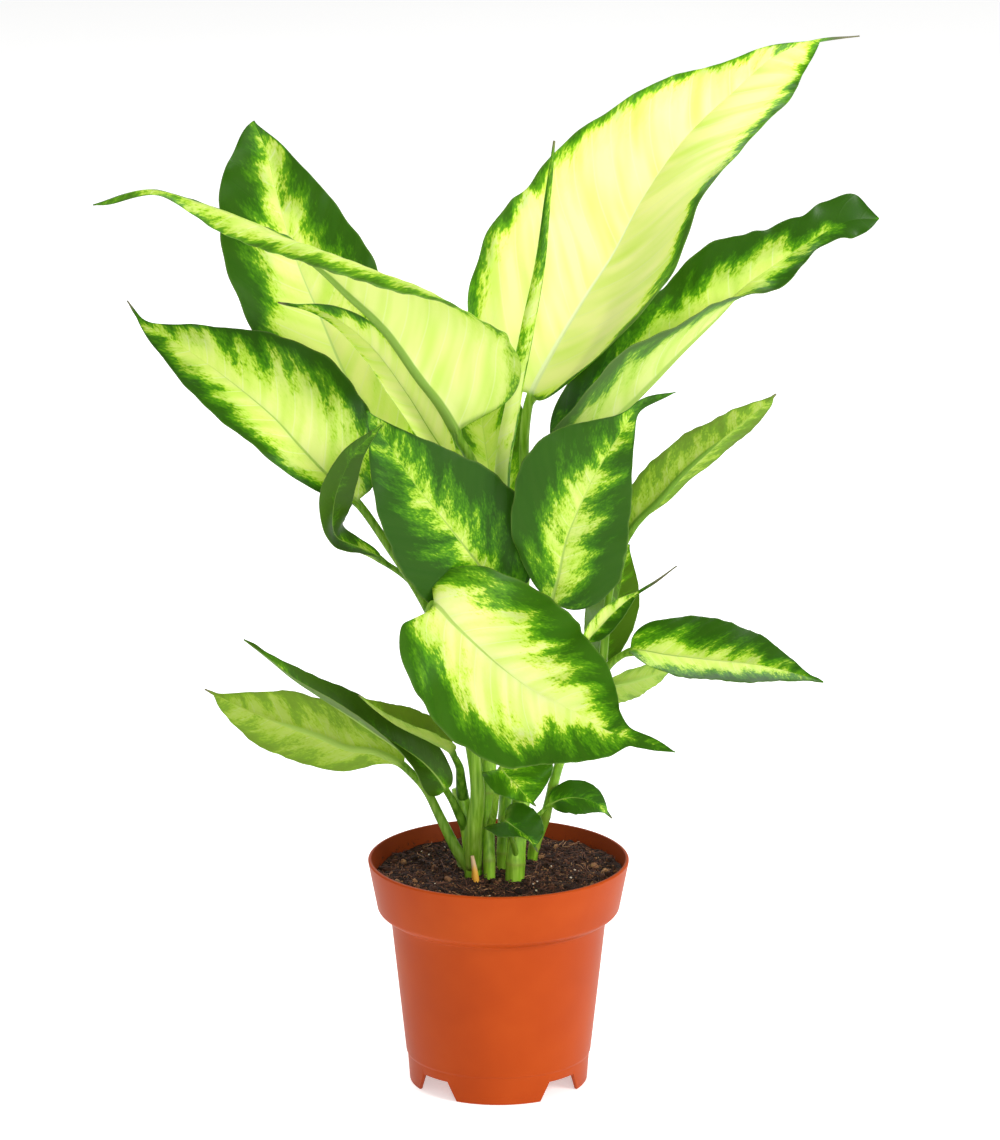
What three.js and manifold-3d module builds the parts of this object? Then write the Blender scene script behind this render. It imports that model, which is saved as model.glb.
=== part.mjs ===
// A potted dieffenbachia: a nursery pot of terracotta-coloured plastic, its soil,
// five canes that stand in it, and the leaves that grow from them.
// Millimetres, +Z up, the origin under the middle of the pot. The viewer stands at -Y.
import * as THREE from 'three';
import Module from 'manifold-3d';
import { mergeVertices } from 'three/addons/utils/BufferGeometryUtils.js';

const wasm = await Module();
wasm.setup();

// Driving dimensions of the pot
const GAP = 0.3;                    // clearance between neighbouring pieces
const POT_HEIGHT = 106;
const POT_WALL = 1.6;
const POT_FLOOR = 1.8;
const RIM_RADIUS = 60;
const RIM_ROUNDING = 0.7;
const BAND_HEIGHT = 24.5;           // the deep collar under the rim
const BAND_FOOT_RADIUS = 55.6;
const BAND_FOOT_ROUNDING = 1.6;
const NECK_RADIUS = 49.6;           // the body just under the collar
const NECK_DROP = 3;                // the neck lies this far under the collar's foot
const STEP_RADIUS = 42.6;           // the body's foot, which stands out a little over the feet
const STEP_LEVEL = 14;
const FOOT_TOP_RADIUS = 42;
const FOOT_RADIUS = 41;
const FOOT_COUNT = 4;
const NOTCH_HEIGHT = 9;             // between two feet
const NOTCH_OVERCUT = 1;            // the cut starts this far under the ground
const NOTCH_TOP_HALF_ANGLE = 10.8;
const NOTCH_GROUND_HALF_ANGLE = 17;
const DRAIN_RADIUS = 4;
const DRAIN_RING_RADIUS = 24;
const DRAIN_COUNT = 6;
const DRAIN_SIDES = 16;
const POT_SEGMENTS = 40;

// Driving dimensions of the soil
const SOIL_LEVEL = 98.8;
const SOIL_SLOPE = 0.02;            // the soil lies higher on the right
const SOIL_MOUND = 1.4;             // and round the stems
const SOIL_LUMP = 0.8;
const SOIL_RINGS = [48, 38, 26, 14, 0];

// Driving dimensions of the plant
const CANE_SIDES = 10;
const CANE_STEP = 8;
const SCAR_EVERY = 2;               // a leaf scar on every second step of a cane
const SCAR_RIDGE = 0.35;
const BLADE_THICKNESS = 0.7;
const BLADE_STEP = 17;              // between two cross sections of a blade
const LEAST_BLADE_STEPS = 8;
const STALK_STEP = 24;
const STALK_REST = 2;               // the last ring of a stalk stands this far before its blade
const THINNEST_TAIL = 0.6;          // the least half width of a leaf's drawn-out end
const TAIL_START = 0.8;              // how far along the blade its edge begins to turn into that end
const TAIL_STEPS = [0.4, 0.75, 1];
const SEAT_LENGTH = 18;             // the top of a leaf stalk drops below its blade over this length
const WAVES = 3.5;                  // edge waves from the base of a leaf to its tip
const KEEL_REACH = 0.05;            // the keel under the rib, as a part of the half width
const FLAT_COLUMNS = [-1, -0.6, -0.13, 0, 0.13, 0.6, 1];
const ROLLED_COLUMNS = [-1, -0.82, -0.5, -0.13, 0, 0.13, 0.5, 0.82, 1];
const SECTION_PIECES = 8;
const SAMPLES_PER_SPAN = 24;

const POT_COLOUR = 0xc85a2c;
const SOIL_COLOUR = 0x33241b;
const CANE_COLOUR = 0x6f9c36;

// Canes stand in the soil: points up the middle, and radii from the foot to the top
const CANES = [
  {
    name: 'cane_left',
    points: [[-11.6, -8.5, 76], [-11.6, -8.5, 104], [-14, -7, 124], [-18, -5, 141]],
    radii: [4.2, 4.0, 3.4],
  },
  {
    name: 'cane_centre',
    points: [[-4.2, -12.5, 76], [-4.2, -11, 106], [-4.8, -6, 124], [-5, -4, 147], [-3, 0, 172], [0, 2, 199],
      [1, 3, 220]],
    radii: [2.5, 2.8, 3.9, 3.9, 3.7],
  },
  {
    name: 'cane_back',
    points: [[3, 0, 76], [3, 2, 110], [4, 7, 135], [4, 13, 166], [3, 18, 204], [3, 20, 224]],
    radii: [3.8, 3.7, 3.5, 3.4],
  },
  {
    name: 'cane_right',
    points: [[7, -15, 76], [8, -14, 112], [10, -10, 134], [13, -6, 157], [16, -3, 181], [18, -2, 198]],
    radii: [4.5, 4.2, 3.2],
  },
  {
    name: 'cane_side',
    points: [[14, 13, 76], [16, 12, 105], [21, 9, 121], [27, 6, 146], [35, 4, 171], [42, 2, 189]],
    radii: [2.6, 2.3, 2],
  },
];

// Shoots that have opened no blade yet
const SHOOTS = [
  {
    name: 'shoot_yellow', colour: 0xd9a13a,
    points: [[-10.4, -17.6, 84], [-10.7, -17.3, 103], [-12, -16.6, 112]],
    radii: [2.1, 2.0, 0.8],
  },
  {
    name: 'shoot_pale', colour: 0x8fae62,
    points: [[-17, 5, 84], [-17, 5, 99], [-19, 5, 110]],
    radii: [2.2, 2.1, 1.3],
  },
  {
    name: 'leaf_spear', colour: 0x9cc653, smooth: true,
    points: [[3, 20, 225], [3, 17, 241], [3, 10, 264], [2, 3, 289], [7, 0, 322], [13, 0, 354],
      [19, 3, 386], [22, 6, 413], [25, 8, 440]],
    radii: [2.9, 3.3, 3.8, 4.2, 3.6, 3.4, 2.6, 1.7, 0.6],
  },
];

// Leaves. stalk and rib are points up the middle of the leaf stalk and of the blade,
// girth is the stalk's radius at the cane and at the blade. face is the way the
// upper side looks, from the blade's base to its tip. half to roll are [left, right],
// seen from above with the tip ahead: half widths, the place of the widest point, how
// slowly the base widens (0.5 is round), how much the tip is drawn out, how far the lobe
// at the base reaches back, then how far a half lifts from the rib (fold) and bends
// towards its edge (roll), in degrees at even places from base to tip. tail is the length
// of the drawn-out end and its half widths where it leaves the blade, and wave the height
// of the edge's waves.
const LEAVES = [
  {
    name: 'leaf_front', cane: 'cane_left', colour: 0x8fc43a,
    stalk: [[-11.6, -8.5, 104], [-11, -12, 123], [-9.5, -15, 143], [-13, -16, 168], [-22, -21, 205],
      [-31, -30, 230]],
    rib: [[-29, -33, 236], [-20, -38, 228], [-9, -41, 218], [2, -48, 210], [16, -57, 202],
      [31, -67, 197], [48, -81, 191], [61, -91, 190], [78, -104, 188]],
    girth: [4.2, 2.0], face: [[0.1, -1, 0.45], [0.1, -1, 0.5]],
    half: [39, 40], widest: [0.37, 0.43], base: [0.5, 0.5], taper: [1.15, 0.95],
    lobe: [0.7, 0.5], tail: [22, 3.6, 3.6], wave: 1.0,
    fold: [[12, 8, 5], [12, 8, 5]], roll: [[-25, -18, 0], [-25, -14, 0]],
  },
  {
    name: 'leaf_centre_left', cane: 'cane_centre', colour: 0x4f8f22,
    stalk: [[-3, -7, 165], [-1, -8, 190], [2, -11, 215]],
    rib: [[1, -14, 235], [-9, -20, 251], [-25, -26, 274], [-38, -29, 292], [-49, -29, 309],
      [-59, -26, 324]],
    girth: [3.2, 1.8], face: [[0, -1, 0.3], [0, -1, 0.3]],
    half: [30, 33], widest: [0.28, 0.32], base: [0.5, 0.5], taper: [1.15, 1.3],
    lobe: [0.25, 0.25], tail: [0, 0, 0], wave: 0.8,
    fold: [[14, 8, 6], [14, 8, 6]], roll: [[-20, -10, 0], [-20, -10, 0]],
  },
  {
    name: 'leaf_centre_right', cane: 'cane_right', colour: 0x4f8f22,
    stalk: [[14, -9, 166], [18, -11, 190], [22, -15, 216]],
    rib: [[24, -18, 232], [27, -23, 246], [31, -29, 266], [38, -35, 285], [46, -38, 302],
      [56, -39, 319], [63, -37, 329], [79, -36, 335]],
    girth: [3.2, 1.8], face: [[0, -1, 0.2], [0, -1, 0.3]],
    half: [32, 28], widest: [0.6, 0.27], base: [1.0, 0.5], taper: [1.5, 1.2],
    lobe: [0.2, 0.2], tail: [18, 2.2, 2.2], wave: 0.8,
    fold: [[14, 8, 6], [14, 8, 6]], roll: [[-20, -10, 0], [-20, -10, 0]],
  },
  {
    name: 'leaf_tall_left', cane: 'cane_back', colour: 0x4a8a25,
    stalk: [[-1, 19, 190], [-7, 24, 222], [-22, 24, 254]],
    rib: [[-43, 20, 285], [-55, 23, 305], [-68, 28, 324], [-81, 37, 352], [-91, 46, 374],
      [-100, 58, 401], [-106, 68, 423], [-112, 71, 436]],
    girth: [3.0, 1.9], face: [[0.1, -1, 0.1], [0, -1, 0.3]],
    half: [32, 33], widest: [0.6, 0.5], base: [0.6, 0.6], taper: [0.6, 1.2],
    lobe: [0.1, 0.1], tail: [0, 0, 0], wave: 1.0,
    fold: [[18, 12, 8], [18, 12, 8]], roll: [[-20, -10, 0], [-20, -10, 0]],
  },
  {
    name: 'leaf_reaching_left', cane: 'cane_centre', colour: 0xb5d66a,
    stalk: [[0, 0, 215], [-3, -1, 252], [-7, -3, 278], [-13, -7, 298]],
    rib: [[-19, -9, 311], [-26, -13, 324], [-35, -18, 337], [-51, -27, 362], [-67, -36, 380],
      [-78, -41, 392], [-94, -48, 406], [-113, -55, 418], [-131, -61, 426], [-153, -69, 434],
      [-177, -76, 429]],
    girth: [3.4, 2.2], face: [[0.55, 0.7, 0.42], [0.5, 0.7, 0.5], [0.3, 0.3, 0.8]],
    half: [47, 26], widest: [0.2, 0.3], base: [0.25, 0.5], taper: [1.9, 1.4],
    lobe: [0, 0], tail: [14, 2.6, 2.6], wave: 0.5,
    fold: [[42, 40, 36, 0, -70, -80], [78, 74, 40, 20, 10]],
    roll: [[-5, -40, -120, -110, -30, 0], [0, 0]], rolled: true,
  },
  {
    name: 'leaf_spread_left', cane: 'cane_centre', colour: 0x4a8a25,
    stalk: [[-5, -4, 147], [-9, -3, 164], [-18, -4, 192], [-33, -6, 228], [-49, -8, 255]],
    rib: [[-64, -8, 277], [-78, -4, 289], [-90, 0, 301], [-101, 6, 312], [-121, 15, 327],
      [-140, 24, 339], [-162, 34, 351], [-169, 40, 359]],
    girth: [2.9, 1.9], face: [[0, -1, 0.35], [0, -1, 0.35]],
    half: [19, 37], widest: [0.5, 0.35], base: [0.8, 0.5], taper: [1.1, 1.6],
    lobe: [0.2, 0.2], tail: [8, 0.8, 0.8], wave: 1.0,
    fold: [[35, 30, 20], [6, 4, 4]], roll: [[-15, -10, 0], [-15, -10, 0]],
  },
  {
    name: 'leaf_rolled_left', cane: 'cane_centre', colour: 0xa6cd5c,
    stalk: [[-4, 4, 215], [-8, 8, 250], [-13, 7, 274]],
    rib: [[-21, 4, 291], [-31, 1, 308], [-42, -2, 327], [-58, -4, 349], [-76, -5, 363], [-99, -6, 369]],
    girth: [2.8, 1.6], face: [[0, -1, 0.2], [0, -1, 0.5]],
    half: [10, 13], widest: [0.4, 0.4], base: [0.5, 0.5], taper: [1.2, 1.2],
    lobe: [0, 0], tail: [6, 0.8, 0.8], wave: 0,
    fold: [[40, 35, 30], [40, 35, 30]], roll: [[20, 20, 0], [20, 20, 0]],
  },
  {
    name: 'leaf_creased_left', cane: 'cane_centre', colour: 0x3f7a20,
    stalk: [[-6, 1, 160], [-13, 5, 186], [-26, 8, 215], [-40, 8, 235]],
    rib: [[-54, 6, 247], [-64, 2, 253], [-74, -7, 261], [-74, -17, 279], [-69, -24, 295],
      [-63, -30, 307], [-52, -37, 320]],
    girth: [2.4, 1.3], face: [[0, -0.4, 1], [0.6, -0.8, 0.6], [0, -1, 0.2], [0, -1, 0.2]],
    half: [8, 8], widest: [0.5, 0.5], base: [0.5, 0.5], taper: [1.2, 1.2],
    lobe: [0, 0], tail: [0, 0, 0], wave: 0.4,
    fold: [[20, 15, 10], [20, 15, 10]], roll: [[0, 0], [0, 0]],
  },
  {
    name: 'leaf_crown', cane: 'cane_back', colour: 0xd8ec7c,
    stalk: [[4, 19, 198], [10, 24, 218], [12, 25, 240], [12, 21, 270], [12, 14, 305]],
    rib: [[15, 12, 322], [25, 17, 341], [40, 25, 365], [52, 33, 382], [66, 45, 406], [86, 61, 431],
      [108, 76, 449], [127, 88, 463], [145, 96, 468], [166, 104, 469]],
    girth: [3.2, 2.2], face: [[0.05, -1, 0.3], [0.05, -1, 0.35]],
    half: [53, 46], widest: [0.24, 0.4], base: [0.5, 0.5], taper: [1.6, 1.0],
    lobe: [0.2, 0.2], tail: [20, 0.8, 0.8], wave: 1.4,
    fold: [[4, 2, 4], [60, 52, 61, 52, 10]], roll: [[-15, -5, 0], [90, 10, -10, 0]],
  },
  {
    name: 'leaf_trough_right', cane: 'cane_right', colour: 0x4a8a25,
    stalk: [[19, -1, 190], [22, 3, 238], [27, 0, 271]],
    rib: [[33, -6, 297], [46, -7, 310], [66, -2, 329], [82, 6, 344], [98, 17, 357], [111, 26, 368],
      [128, 36, 378], [144, 47, 386], [160, 58, 392], [174, 64, 392]],
    girth: [3.2, 2.2],
    face: [[-0.5, -0.3, 0.75], [-0.5, -0.4, 0.75], [-0.3, -0.75, 0.6], [-0.3, -0.85, 0.4]],
    half: [31, 27], widest: [0.35, 0.2], base: [0.5, 0.5], taper: [0.85, 1.3],
    lobe: [0.5, 0.5], tail: [14, 13, 8], wave: 2,
    fold: [[54, 50, 20, 10, 5], [80, 75, 60, 10, 5]], roll: [[0, 0], [0, 0]],
  },
  {
    name: 'leaf_back', cane: 'cane_back', colour: 0xa9cf6e,
    stalk: [[2, 24, 205], [3, 27, 232]],
    rib: [[0, 28, 255], [-5, 38, 285], [-8, 49, 306], [-10, 61, 326], [-11, 74, 344]],
    girth: [2.8, 1.7], face: [[0, -1, 0.3], [0, -1, 0.3]],
    half: [20, 20], widest: [0.45, 0.45], base: [0.5, 0.5], taper: [1.2, 1.2],
    lobe: [0.1, 0.1], tail: [0, 0, 0], wave: 0.6,
    fold: [[20, 15, 10], [20, 15, 10]], roll: [[0, 0], [0, 0]],
  },
  {
    name: 'leaf_upright_right', cane: 'cane_side', colour: 0x93ba5b,
    stalk: [[46, 1, 184], [48, 0, 205], [51, -1, 235]],
    rib: [[60, -4, 263], [72, -13, 279], [82, -21, 293], [96, -31, 309], [109, -42, 323],
      [119, -48, 333], [123, -52, 338]],
    girth: [2.4, 1.5], face: [[-0.1, 1, 0.4], [-0.1, 1, 0.4]],
    half: [9, 14], widest: [0.6, 0.25], base: [0.9, 0.5], taper: [0.7, 0.8],
    lobe: [0, 0], tail: [3, 0.8, 0.8], wave: 0.6,
    fold: [[25, 20, 10], [25, 20, 10]], roll: [[0, 0], [0, 0]],
  },
  {
    name: 'leaf_dark_right', cane: 'cane_side', colour: 0x2f5f2a,
    stalk: [[40, 6, 176], [44, 9, 186]],
    rib: [[48, 11, 197], [51, 18, 209], [55, 28, 223], [58, 38, 234], [60, 44, 243]],
    girth: [2.2, 1.4], face: [[0, -1, 0.3], [0, -1, 0.3]],
    half: [14, 11], widest: [0.4, 0.4], base: [0.5, 0.5], taper: [1.3, 1.3],
    lobe: [0.1, 0.1], tail: [0, 0, 0], wave: 0.4,
    fold: [[20, 15, 10], [20, 15, 10]], roll: [[0, 0], [0, 0]],
  },
  {
    name: 'leaf_tailed_right', cane: 'cane_side', colour: 0x7fae45,
    stalk: [[41, -1, 183], [42, -4, 198]],
    rib: [[41, -6, 211], [46, -9, 218], [52, -13, 226], [62, -20, 237], [71, -27, 245], [80, -34, 254]],
    girth: [2.0, 1.2], face: [[0.2, -1, 0.3], [0.2, -1, 0.3]],
    half: [8, 6], widest: [0.4, 0.4], base: [0.5, 0.5], taper: [1.2, 1.2],
    lobe: [0, 0], tail: [26, 0.8, 0.8], wave: 0,
    fold: [[40, 40, 30], [40, 40, 30]], roll: [[0, 0], [0, 0]],
  },
  {
    name: 'leaf_low_right', cane: 'cane_side', colour: 0x5d9a2a,
    stalk: [[45, -1, 190], [52, -4, 201]],
    rib: [[60, -8, 207], [77, -16, 207], [97, -28, 208], [115, -42, 210], [132, -55, 210],
      [145, -66, 209]],
    girth: [2.2, 1.5], face: [[0, -0.7, 0.7], [0, -0.7, 0.7]],
    half: [21, 21], widest: [0.3, 0.45], base: [0.5, 0.8], taper: [1.25, 1.0],
    lobe: [0.15, 0.15], tail: [5, 1.4, 1.4], wave: 0.6,
    fold: [[15, 12, 8], [40, 35, 20]], roll: [[-10, -10, 0], [-10, -10, 0]],
  },
  {
    name: 'leaf_drooping_right', cane: 'cane_side', colour: 0x9fbf6d,
    stalk: [[40, 5, 180], [44, 6, 184]],
    rib: [[50, 7, 186], [61, 12, 187], [72, 20, 188], [83, 30, 190]],
    girth: [1.9, 1.2], face: [[0, 1, 0.3], [0, 1, 0.3]],
    half: [14, 6], widest: [0.3, 0.45], base: [0.5, 0.5], taper: [1.1, 1.1],
    lobe: [0, 0], tail: [2, 0.8, 0.8], wave: 0.4,
    fold: [[15, 12, 8], [15, 12, 8]], roll: [[0, 0], [0, 0]],
  },
  {
    name: 'leaf_low_left_dark', cane: 'cane_left', colour: 0x2f6324,
    stalk: [[-14, -7, 120], [-18, -11, 130], [-21, -15, 138]],
    rib: [[-24, -18, 144], [-28, -21, 151], [-35, -23, 159], [-47, -25, 168], [-60, -26, 177],
      [-76, -27, 188], [-92, -28, 199], [-104, -28, 209], [-115, -28, 218]],
    girth: [2.6, 1.6], face: [[0.1, -1, 0.2], [0.2, -0.6, 0.7], [0.2, -0.4, 0.9]],
    half: [10, 12], widest: [0.12, 0.35], base: [0.5, 0.5], taper: [1.2, 0.9],
    lobe: [0.2, 0.2], tail: [8, 2.2, 2.2], wave: 0.4,
    fold: [[10, 60, 70, 60, 40], [12, 12, 10]], roll: [[-10, 0, 0], [-20, -10, 0]],
  },
  {
    name: 'leaf_low_left_pale', cane: 'cane_left', colour: 0xa3c95a,
    stalk: [[-11.6, -8.5, 101], [-19, -8, 112], [-26, -7, 126], [-34, -7, 142]],
    rib: [[-44, -8, 153], [-56, -7, 159], [-69, -4, 160], [-82, 1, 164], [-94, 5, 167],
      [-110, 11, 171], [-135, 22, 180]],
    girth: [3.0, 1.8], face: [[0, 1, 0.1], [0, 1, 0.1]],
    half: [17, 17], widest: [0.5, 0.54], base: [0.6, 1.1], taper: [1.2, 0.75],
    lobe: [0.1, 0.1], tail: [5, 0.8, 0.8], wave: 0.6,
    fold: [[12, 10, 8], [12, 10, 8]], roll: [[-10, -10, 0], [-10, -10, 0]],
  },
  {
    name: 'leaf_low_left_folded', cane: 'cane_left', colour: 0x8db264,
    stalk: [[-16.5, -6, 136], [-17.2, -11, 147], [-18, -18.6, 157]],
    rib: [[-21, -25, 165], [-31, -31, 172], [-45, -36, 180], [-55, -39, 188], [-63, -42, 196]],
    girth: [3.0, 1.5], face: [[0.3, -0.3, 0.9], [0.3, -0.3, 0.9]],
    half: [9, 11], widest: [0.4, 0.4], base: [0.5, 0.5], taper: [1.2, 1.2],
    lobe: [0, 0], tail: [2, 0.8, 0.8], wave: 0.3,
    fold: [[50, 50, 40], [35, 35, 30]], roll: [[0, 0], [0, 0]],
  },
  {
    name: 'leaf_small_under_front', cane: 'cane_centre', colour: 0x6aa82c,
    stalk: [[-4, -7, 122], [-2, -14, 132], [-1, -20, 142], [0, -24, 150]],
    rib: [[1, -27, 157], [4, -30, 154], [8, -34, 151], [12, -37, 147], [17, -40, 143]],
    girth: [2.0, 1.2], face: [[0, -0.9, 0.5], [0, -0.9, 0.5]],
    half: [19, 9.8], widest: [0.6, 0.25], base: [0.6, 0.5], taper: [0.5, 1.3],
    lobe: [0.1, 2.2], tail: [2, 0.8, 0.8], wave: 0.4,
    fold: [[12, 10, 8], [12, 10, 8]], roll: [[-10, -10, 0], [-10, -10, 0]],
  },
  {
    name: 'leaf_small_heart', cane: 'cane_right', colour: 0x3d7a20,
    stalk: [[8, -14, 106], [8, -17, 113], [6, -20, 121], [4, -22, 127]],
    rib: [[3, -24, 131], [7, -27, 129], [13, -30, 125], [18, -33, 119]],
    girth: [1.8, 1.0], face: [[0, -0.8, 0.6], [0, -0.8, 0.6]],
    half: [12, 10], widest: [0.35, 0.22], base: [0.3, 0.5], taper: [0.55, 2.5],
    lobe: [0.5, 2.8], tail: [3, 0.8, 0.8], wave: 0.2,
    fold: [[15, 12, 8], [10, 45, 65]], roll: [[-20, -10, 0], [-20, -10, 0]],
  },
  {
    name: 'leaf_small_right', cane: 'cane_right', colour: 0x3d7a20,
    stalk: [[9, -12, 118], [14, -6, 124]],
    rib: [[24, -2, 132], [32, -2, 135], [41, -2, 134], [47, -3, 131], [52, -4, 126]],
    girth: [1.6, 1.0], face: [[0, -0.7, 0.7], [0, -0.7, 0.7]],
    half: [9, 9], widest: [0.45, 0.45], base: [0.5, 0.5], taper: [1.2, 1.2],
    lobe: [0.1, 0.1], tail: [3, 0.8, 0.8], wave: 0.2,
    fold: [[12, 10, 8], [12, 10, 8]], roll: [[-10, -10, 0], [-10, -10, 0]],
  },
];

// A smooth curve through the points, sampled so that a place on it is found by its length
function spineThrough(points) {
  const knots = points.map((point) => new THREE.Vector3(...point));
  const curve = new THREE.CatmullRomCurve3(knots, false, 'centripetal');
  const samples = curve.getPoints(SAMPLES_PER_SPAN * (points.length - 1));
  const lengths = [0];
  for (let i = 1; i < samples.length; i += 1) {
    lengths.push(lengths[i - 1] + samples[i].distanceTo(samples[i - 1]));
  }
  return { samples, lengths, total: lengths[lengths.length - 1] };
}

function spineAt(spine, distance) {
  const { samples, lengths } = spine;
  let i = 1;
  while (i < lengths.length - 1 && lengths[i] < distance) {
    i += 1;
  }
  const mix = (distance - lengths[i - 1]) / (lengths[i] - lengths[i - 1]);
  const point = samples[i - 1].clone().lerp(samples[i], mix);
  const before = samples[Math.max(i - 4, 0)];
  const after = samples[Math.min(i + 3, samples.length - 1)];
  return { point, tangent: after.clone().sub(before).normalize() };
}

// The value at t, from 0 to 1, of a list of evenly spaced numbers
function blend(values, t) {
  const place = THREE.MathUtils.clamp(t, 0, 1) * (values.length - 1);
  const i = Math.min(Math.floor(place), values.length - 2);
  return THREE.MathUtils.lerp(values[i], values[i + 1], place - i);
}

function evenSteps(from, to, step) {
  const count = Math.max(1, Math.round((to - from) / step));
  return Array.from({ length: count + 1 }, (_, i) => from + ((to - from) * i) / count);
}

// A closed skin over rings that all hold the same number of points. The rings run
// clockwise when seen from the end of the row, so that the faces point out.
function skinOver(rings) {
  const size = rings[0].length;
  const positions = rings.flat().flatMap((point) => point.toArray());
  const index = [];
  for (let i = 0; i + 1 < rings.length; i += 1) {
    for (let j = 0; j < size; j += 1) {
      const a = i * size + j;
      const b = i * size + ((j + 1) % size);
      const splitForward = j < size / 2;
      if (splitForward) {
        index.push(a, b, b + size, a, b + size, a + size);
      } else {
        index.push(a, b, a + size, b, b + size, a + size);
      }
    }
  }
  const last = (rings.length - 1) * size;
  for (let j = 0; j < size / 2 - 1; j += 1) {
    const k = size - 1 - j;
    index.push(j, k, j + 1, j + 1, k, k - 1);
    index.push(last + j, last + j + 1, last + k, last + j + 1, last + k - 1, last + k);
  }
  const geometry = new THREE.BufferGeometry();
  geometry.setAttribute('position', new THREE.Float32BufferAttribute(positions, 3));
  geometry.setIndex(index);
  return geometry;
}

function solidOf(geometry) {
  const bare = geometry.clone();
  bare.deleteAttribute('normal');
  bare.deleteAttribute('uv');
  const merged = mergeVertices(bare, 1e-4);
  return new wasm.Manifold(new wasm.Mesh({
    numProp: 3,
    vertProperties: new Float32Array(merged.attributes.position.array),
    triVerts: new Uint32Array(merged.index.array),
  }));
}

function geometryOf(solid) {
  const mesh = solid.getMesh();
  const geometry = new THREE.BufferGeometry();
  geometry.setAttribute('position', new THREE.BufferAttribute(new Float32Array(mesh.vertProperties), 3));
  geometry.setIndex(new THREE.BufferAttribute(new Uint32Array(mesh.triVerts), 1));
  geometry.computeVertexNormals();
  return geometry;
}

const plant = new THREE.Group();

function addPiece(name, solid, colour, roughness) {
  const material = new THREE.MeshStandardMaterial({ color: colour, roughness, metalness: 0 });
  const mesh = new THREE.Mesh(geometryOf(solid), material);
  mesh.name = name;
  plant.add(mesh);
}

// Pot: one moulded shell with a deep collar, four feet and drain holes
const bandFootLevel = POT_HEIGHT - BAND_HEIGHT;
const neckLevel = bandFootLevel - NECK_DROP;
const floorBottom = NOTCH_HEIGHT + 1;
const floorTop = floorBottom + POT_FLOOR;
const shelfLevel = bandFootLevel + BAND_FOOT_ROUNDING;
const innerNeckLevel = neckLevel + POT_WALL / 2;

function latheOf(points) {
  const outline = points.map(([radius, height]) => new THREE.Vector2(radius, height));
  return new THREE.LatheGeometry(outline, POT_SEGMENTS).rotateX(Math.PI / 2);
}

function innerWallRadius(height) {
  const share = (height - shelfLevel) / (POT_HEIGHT - shelfLevel);
  return THREE.MathUtils.lerp(BAND_FOOT_RADIUS, RIM_RADIUS, share) - POT_WALL;
}

function halfChord(angle) {
  return FOOT_RADIUS * Math.tan(THREE.MathUtils.degToRad(angle));
}

function notchCutter(i) {
  const halfTop = halfChord(NOTCH_TOP_HALF_ANGLE);
  const halfGround = halfChord(NOTCH_GROUND_HALF_ANGLE);
  const corners = [
    [-halfGround, -NOTCH_OVERCUT], [halfGround, -NOTCH_OVERCUT],
    [halfTop, NOTCH_HEIGHT], [-halfTop, NOTCH_HEIGHT],
  ];
  const notch = new THREE.Shape(corners.map(([x, y]) => new THREE.Vector2(x, y)));
  const cutter = new THREE.ExtrudeGeometry(notch, { depth: RIM_RADIUS, bevelEnabled: false });
  cutter.rotateX(Math.PI / 2);
  cutter.rotateZ(((i + 0.5) * 2 * Math.PI) / FOOT_COUNT);
  return solidOf(cutter);
}

function drainCutter(i) {
  const angle = (i * 2 * Math.PI) / DRAIN_COUNT;
  const drill = new THREE.CylinderGeometry(DRAIN_RADIUS, DRAIN_RADIUS, 4 * POT_FLOOR, DRAIN_SIDES);
  drill.rotateX(Math.PI / 2);
  drill.translate(DRAIN_RING_RADIUS * Math.cos(angle), DRAIN_RING_RADIUS * Math.sin(angle), floorTop);
  return solidOf(drill);
}

function potSolid() {
  const outside = [
    [0, floorBottom], [FOOT_RADIUS - POT_WALL, floorBottom], [FOOT_RADIUS - POT_WALL, 0], [FOOT_RADIUS, 0],
    [FOOT_TOP_RADIUS, STEP_LEVEL - 1], [STEP_RADIUS, STEP_LEVEL], [NECK_RADIUS, neckLevel],
    [BAND_FOOT_RADIUS - BAND_FOOT_ROUNDING, bandFootLevel - 0.6], [BAND_FOOT_RADIUS, bandFootLevel + 1],
    [RIM_RADIUS, POT_HEIGHT - RIM_ROUNDING], [RIM_RADIUS - RIM_ROUNDING, POT_HEIGHT],
  ];
  const inside = [
    [innerWallRadius(POT_HEIGHT), POT_HEIGHT], [innerWallRadius(shelfLevel), shelfLevel],
    [NECK_RADIUS - POT_WALL, innerNeckLevel], [FOOT_TOP_RADIUS - POT_WALL, floorTop], [0, floorTop],
  ];
  let pot = solidOf(latheOf([...outside, ...inside]));
  for (let i = 0; i < FOOT_COUNT; i += 1) {
    pot = pot.subtract(notchCutter(i));
  }
  for (let i = 0; i < DRAIN_COUNT; i += 1) {
    pot = pot.subtract(drainCutter(i));
  }
  return pot;
}

// Soil: a plug that fills the pot, lumpy on top, with a plain hole for each stem
function soilHeight(x, y) {
  const share = Math.hypot(x, y) / innerWallRadius(SOIL_LEVEL);
  const mound = SOIL_MOUND * (1 - share ** 2);
  const lumps = Math.sin(0.23 * x + 1.3) * Math.cos(0.19 * y) + 0.5 * Math.sin(0.41 * x - 0.37 * y);
  return SOIL_LEVEL + SOIL_SLOPE * x + mound + SOIL_LUMP * lumps;
}

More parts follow.
